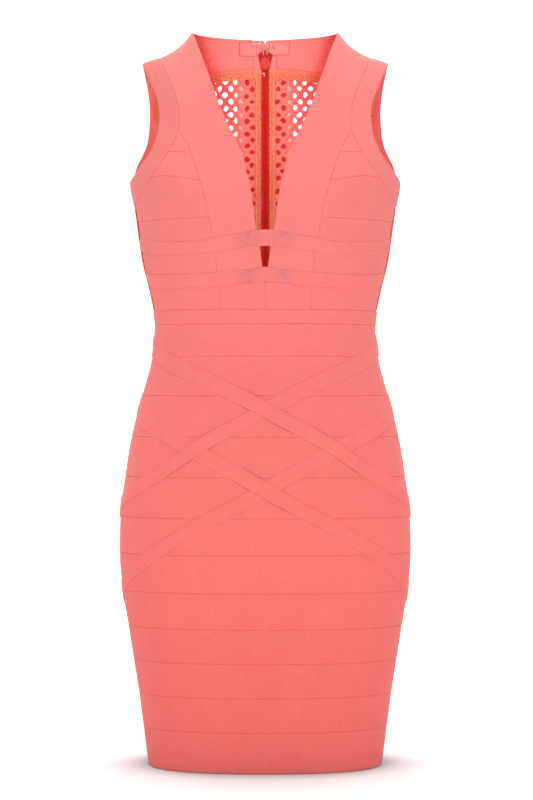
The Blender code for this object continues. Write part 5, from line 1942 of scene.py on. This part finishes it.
def placed(name, parts, place, materials):
    """One mesh from several parts, each with its own material, set in its place."""
    points, faces, kinds = [], [], []
    for kind, (part_points, part_faces) in enumerate(parts):
        faces += [tuple(len(points) + k for k in face) for face in part_faces]
        points += [place @ (Vector(point) * MM) for point in part_points]
        kinds += [kind] * len(part_faces)
    mesh = bpy.data.meshes.new(name)
    mesh.from_pydata(points, [], faces)
    for material in materials:
        mesh.materials.append(material)
    mesh.polygons.foreach_set("material_index", kinds)
    mesh.shade_smooth()
    return link_mesh(name, mesh)


# %% The slider: a dark heart with a pale disc, and a lug for the pull
lobe, toe = 12.8, 0.4
heart = np.vstack([
    arc(3.6, lobe, 4.6, -24.0, 138.0, 12),
    arc(-3.6, lobe, 4.6, 42.0, 204.0, 12),
    arc(0.0, toe, 5.7, 203.0, 337.0, 12),
])
disc = arc(0.0, 0.0, 1.0, 0.0, 345.0, 23) * (5.9, 7.5) + (0.0, 4.4)
ridge = arc(0.0, 0.0, 0.62, 0.0, 330.0, 11)
lug = np.vstack([
    [(SLIDER_FACE - 0.9, PIVOT_UP - 2.2), (0.0, PIVOT_UP - 2.2)],
    arc(PIVOT_OUT, PIVOT_UP, 2.2, -90.0, 90.0, 14),
    [(0.0, PIVOT_UP + 2.2), (SLIDER_FACE - 0.9, PIVOT_UP + 2.2)],
])
lug_hole = arc(PIVOT_OUT, PIVOT_UP, 1.1, -130.0, 205.0, len(lug) - 1)
slider = placed("zip_slider_metal", [
    soft_slab(heart, SLIDER_FACE - 1.4, SLIDER_FACE, 0.55),
    soft_slab(disc, SLIDER_FACE - 1.75, SLIDER_FACE - 1.0, 0.3, dish=0.12),
    soft_slab(lug, -0.7, 0.7, 0.25, axis="X", hole=lug_hole),
    *[soft_slab(ridge * (wide, long) + (across, 17.0), SLIDER_FACE - 1.95, SLIDER_FACE - 1.1, 0.22)
      for across, wide, long in ((-2.0, 0.9, 5.2), (2.0, 0.9, 5.2), (0.0, 1.6, 5.4))],
], slider_place(), [LACQUER, LACQUER_DISC, LACQUER, STEEL, STEEL, LACQUER])
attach(slider, "dress")
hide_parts("zip_slider")

# %% The pull tab on its pivot
PULL_END = -24.0 + 0.6 + 4.2
tongue = np.vstack([
    [(2.5, 0.42), (2.1, 0.6), (-2.1, 0.6), (-2.5, 0.42), (-2.8, -2.0), (-3.1, -8.0)],
    arc(0.0, PULL_END, 4.2, 175.0, 365.0, 24),
    [(3.1, -8.0), (2.8, -2.0)],
])
around = np.linspace(0.0, 2.0 * np.pi, len(tongue), endpoint=False) + 0.55 * np.pi - 0.42
pull_window = np.stack([
    1.5 * np.sign(np.cos(around)) * np.abs(np.cos(around)) ** 0.45,
    -2.6 + 2.0 * np.sign(np.sin(around)) * np.abs(np.sin(around)) ** 0.45,
], axis=1)
pull_place = slider_place() @ Matrix.Translation(Vector((0.0, PIVOT_OUT, PIVOT_UP)) * MM)
pull = placed("zip_pull_metal", [soft_slab(tongue, -0.6, 0.6, 0.35, hole=pull_window)],
              pull_place, [LACQUER])
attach(pull, "pull")
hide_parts("zip_pull")
print("slider:", len(slider.data.polygons), "faces; pull:", len(pull.data.polygons), "faces")

# %% The bent wires of the hook and the eye
WIRE_RADIUS = 0.55
WIRE_COLUMNS = "across height inwards"
HOOK_WIRE = table(
    WIRE_COLUMNS,
    (-13.4, -2.9, 0.0),
    (-14.8, -3.8, 0.0),
    (-16.7, -3.6, 0.0),
    (-17.4, -2.4, 0.0),
    (-16.2, -1.4, 0.0),
    (-13.0, -1.2, 0.0),
    (-8.6, -1.0, 0.4),
    (-5.4, -1.0, 0.8),
    (-4.1, -2.2, 1.0),
    (-5.2, -3.6, 0.8),
    (-8.6, -4.0, 0.4),
    (-12.4, -4.8, 0.0),
    (-15.2, -5.8, 0.0),
    (-16.0, -7.4, 0.0),
    (-14.6, -8.5, 0.0),
    (-13.0, -7.6, 0.0),
)
EYE_WIRE = table(
    WIRE_COLUMNS,
    (5.6, -11.4, 0.0),
    (4.0, -11.0, 0.0),
    (3.8, -9.4, 0.0),
    (5.4, -8.4, 0.0),
    (5.2, -6.4, 0.0),
    (6.4, -4.9, 0.0),
    (8.6, -4.6, 0.0),
    (10.2, -5.8, 0.0),
    (10.2, -7.6, 0.0),
    (9.2, -8.8, 0.0),
    (10.0, -10.4, 0.0),
    (11.8, -10.2, 0.0),
    (12.2, -8.6, 0.0),
)


def swept(name, places, radius, material, sides=10):
    """A round wire along a smooth curve, with domed ends."""
    knots = walk(places)
    at = np.linspace(0.0, knots[-1], int(knots[-1] / 0.5) + 1)
    line = np.stack([smooth_curve(knots, places[:, k])(at) for k in range(3)], axis=1)
    along = unit(np.gradient(line, axis=0))
    line = np.vstack([line[0] - along[0] * radius * 0.8, line[0], line[1:-1], line[-1],
                      line[-1] + along[-1] * radius * 0.8])
    along = np.vstack([along[:1], along, along[-1:]])
    size = np.full(len(line), radius)
    size[[0, -1]] = radius * 0.5
    side = unit(np.cross(along[0], (0.3, 0.5, 0.8)))
    points = []
    for middle, run, reach in zip(line, along, size):
        side = unit(side - run * np.dot(side, run))
        other = np.cross(run, side)
        turn = np.linspace(0.0, 2.0 * np.pi, sides, endpoint=False)[:, None]
        points.append(middle + reach * (np.cos(turn) * side + np.sin(turn) * other))
    points = np.concatenate(points)
    faces = []
    for k in range(len(line) - 1):
        for n in range(sides):
            here, ahead = k * sides + n, k * sides + (n + 1) % sides
            faces.append((here, ahead, ahead + sides, here + sides))
    faces.append(tuple(range(sides - 1, -1, -1)))
    faces.append(tuple(range(len(points) - sides, len(points))))
    return placed(name, [(points, faces)], Matrix.Identity(4), [material])


WIRE_DEPTH = 3.6
THREAD_END = table(
    WIRE_COLUMNS,
    (-5.0, -38.8, 3.4),
    (-3.4, -38.0, 3.7),
    (-1.9, -37.4, 3.9),
    (-0.9, -38.4, 3.9),
    (-1.0, -40.0, 3.8),
    (-1.6, -41.4, 3.4),
)


def bent(name, rows, depth, radius, material):
    """A wire or a thread through its rows, depth mm in from the cloth's outer face."""
    turn, height = np.array([back_spot(row.across, row.height) for row in rows]).T
    sink = depth + np.array(column(rows, "inwards"))
    return swept(name, figure(turn, height) - outward(turn, height) * sink[:, None], radius, material)


for name, rows in (("hook_wire", HOOK_WIRE), ("eye_wire", EYE_WIRE)):
    wire = bent(name + "_steel", rows, WIRE_DEPTH, WIRE_RADIUS, STEEL)
    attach(wire, "dress")
    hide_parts(name)
loose_end = bent("thread_end", THREAD_END, 0.0, 0.7, THREAD_PALE)
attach(loose_end, "dress")
print("wires: 2, and a loose end of thread below the slider")


# %% [markdown]
# ## Camera, floor and light
#
# The camera looks level at the middle of the dress from three metres away, with a long lens,
# so the shape isn't distorted. A pale floor curves up into a pale backdrop, and broad soft
# lights give a nearly even light with soft shade at the sides. A small lamp inside the neck
# lights the back, as it would for a dress that's shown without a figure in it. The backdrop
# is clear from behind, so the dress can be looked at from all sides.

# %% Camera
camera_data = bpy.data.cameras.new("camera")
camera = bpy.data.objects.new("camera", camera_data)
bpy.context.scene.collection.objects.link(camera)
camera.location = (0.0015, -3.0, -0.430)
camera.rotation_euler = (math.radians(90.0), 0.0, 0.0)
camera_data.lens = 115.4
camera_data.sensor_width = 36.0
camera_data.clip_end = 50.0
bpy.context.scene.camera = camera

# %% Floor and backdrop
FLOOR_LEVEL = cad_box[0][2] - 0.0008
SHADE_REACH, SHADE_FALL, SHADE_DEPTH = 1.62, 2.2, 0.62
GLOW_FROM, GLOW_TO = 6.0, 16.0
GLOW_NEAR, GLOW_FAR = 0.06, 0.5


def make_floor():
    """A floor that rises in a wide curve behind the dress, with a soft grey shade round the hem."""
    outline = [(-4.0, 0.0), (1.6, 0.0)]
    outline += [(1.6 + 1.2 * math.sin(a), 1.2 - 1.2 * math.cos(a))
                for a in np.linspace(0.1, math.pi / 2, 14)]
    outline.append((2.8, 5.0))
    points = [(x / MM, y / MM, (z + FLOOR_LEVEL) / MM) for y, z in outline for x in (-5.0, 5.0)]
    faces = [(2 * k, 2 * k + 1, 2 * k + 3, 2 * k + 2) for k in range(len(outline) - 1)]
    paper, board, shader = new_material("pale_paper")
    place = board.place()
    tooth = board.between(board.noise(place, 300.0, 2.0), 0.3, 0.7)
    colour = board.blend(tooth, (0.86, 0.87, 0.87, 1.0), (0.88, 0.89, 0.89, 1.0))
    hem = np.array([figure(turn, cad_box[0][2] / MM) for turn in (0.0, 90.0, 180.0)]) * MM
    middle, reach = (hem[0][1] + hem[2][1]) / 2.0, (hem[2][1] - hem[0][1]) / 2.0
    split = board.split(place)
    wide = board.over(split["X"], float(abs(hem[1][0])))
    deep = board.over(board.minus(split["Y"], float(middle)), float(reach))
    away = board.math("SQRT", board.plus(board.times(wide, wide), board.times(deep, deep)))
    near = board.between(away, 0.97, SHADE_REACH, 1.0, 0.0)
    shade = board.times(board.math("POWER", near, SHADE_FALL), SHADE_DEPTH)
    board.plug(board.blend(shade, colour, (0.14, 0.19, 0.19, 1.0)), shader.inputs["Base Color"])
    far_off = board.between(away, GLOW_FROM, GLOW_TO)
    glow = board.blend(far_off, (*[GLOW_NEAR] * 3, 1.0), (*[GLOW_FAR] * 3, 1.0))
    board.plug(glow, shader.inputs["Emission Color"])
    set_shader(shader, roughness=0.9, specular_ior_level=0.1, emission_strength=1.0)
    behind = board.node("ShaderNodeNewGeometry").outputs["Backfacing"]
    clear = board.node("ShaderNodeBsdfTransparent").outputs[0]
    seen = board.node("ShaderNodeMixShader", {0: behind, 1: shader.outputs[0], 2: clear})
    board.plug(seen.outputs[0], paper.node_tree.nodes["Material Output"].inputs["Surface"])
    floor = add_mesh("floor", points, faces, [paper])


make_floor()

# %% Light
world = bpy.data.worlds.new("studio")
world.use_nodes = True
sky = Board(world.node_tree)
sky.plug((1.0, 1.0, 1.0, 1.0), world.node_tree.nodes["Background"].inputs["Color"])
direct = sky.node("ShaderNodeLightPath").outputs["Is Camera Ray"]
sky.plug(sky.between(direct, 0.0, 1.0, 0.395, 1.0), world.node_tree.nodes["Background"].inputs["Strength"])
bpy.context.scene.world = world
bpy.context.scene.view_settings.view_transform = "Standard"


LAMPS = table(
    "name place aim size power",
    ("front", (0.0, -4.4, 0.25), (0.0, 0.0, -0.42), (2.8, 2.8), 31.5),
    ("over", (-0.3, -1.9, 1.9), (0.0, 0.0, -0.4), (2.2, 1.0), 24.0),
    ("fill_right", (1.9, -1.9, 0.3), (0.0, 0.0, -0.4), (1.6, 2.0), 7.0),
    ("fill_left", (-1.9, -1.9, 0.3), (0.0, 0.0, -0.4), (1.6, 2.0), 3.7),
    ("top", (0.0, 0.5, 2.0), (0.0, -0.1, -0.8), (2.6, 1.6), 66.0),
    ("inside", (0.0, -0.01, -0.125), (0.0, 0.1, -0.125), (0.05, 0.26), 0.11),
)
for row in LAMPS:
    data = bpy.data.lights.new(row.name, "AREA")
    data.shape = "RECTANGLE"
    data.size, data.size_y = row.size
    data.energy = row.power
    lamp = bpy.data.objects.new(row.name, data)
    bpy.context.scene.collection.objects.link(lamp)
    lamp.location = row.place
    lamp.rotation_euler = (Vector(row.aim) - Vector(row.place)).to_track_quat("-Z", "Y").to_euler()
    lamp.visible_camera = False
    lamp.visible_glossy = row.name != "inside"

# %% [markdown]
# ## Finish
#
# The last line prints the number of triangles in the cloth pieces and the threads.

# %% The number of triangles
print("triangles:", sum(TRIANGLES.values()))
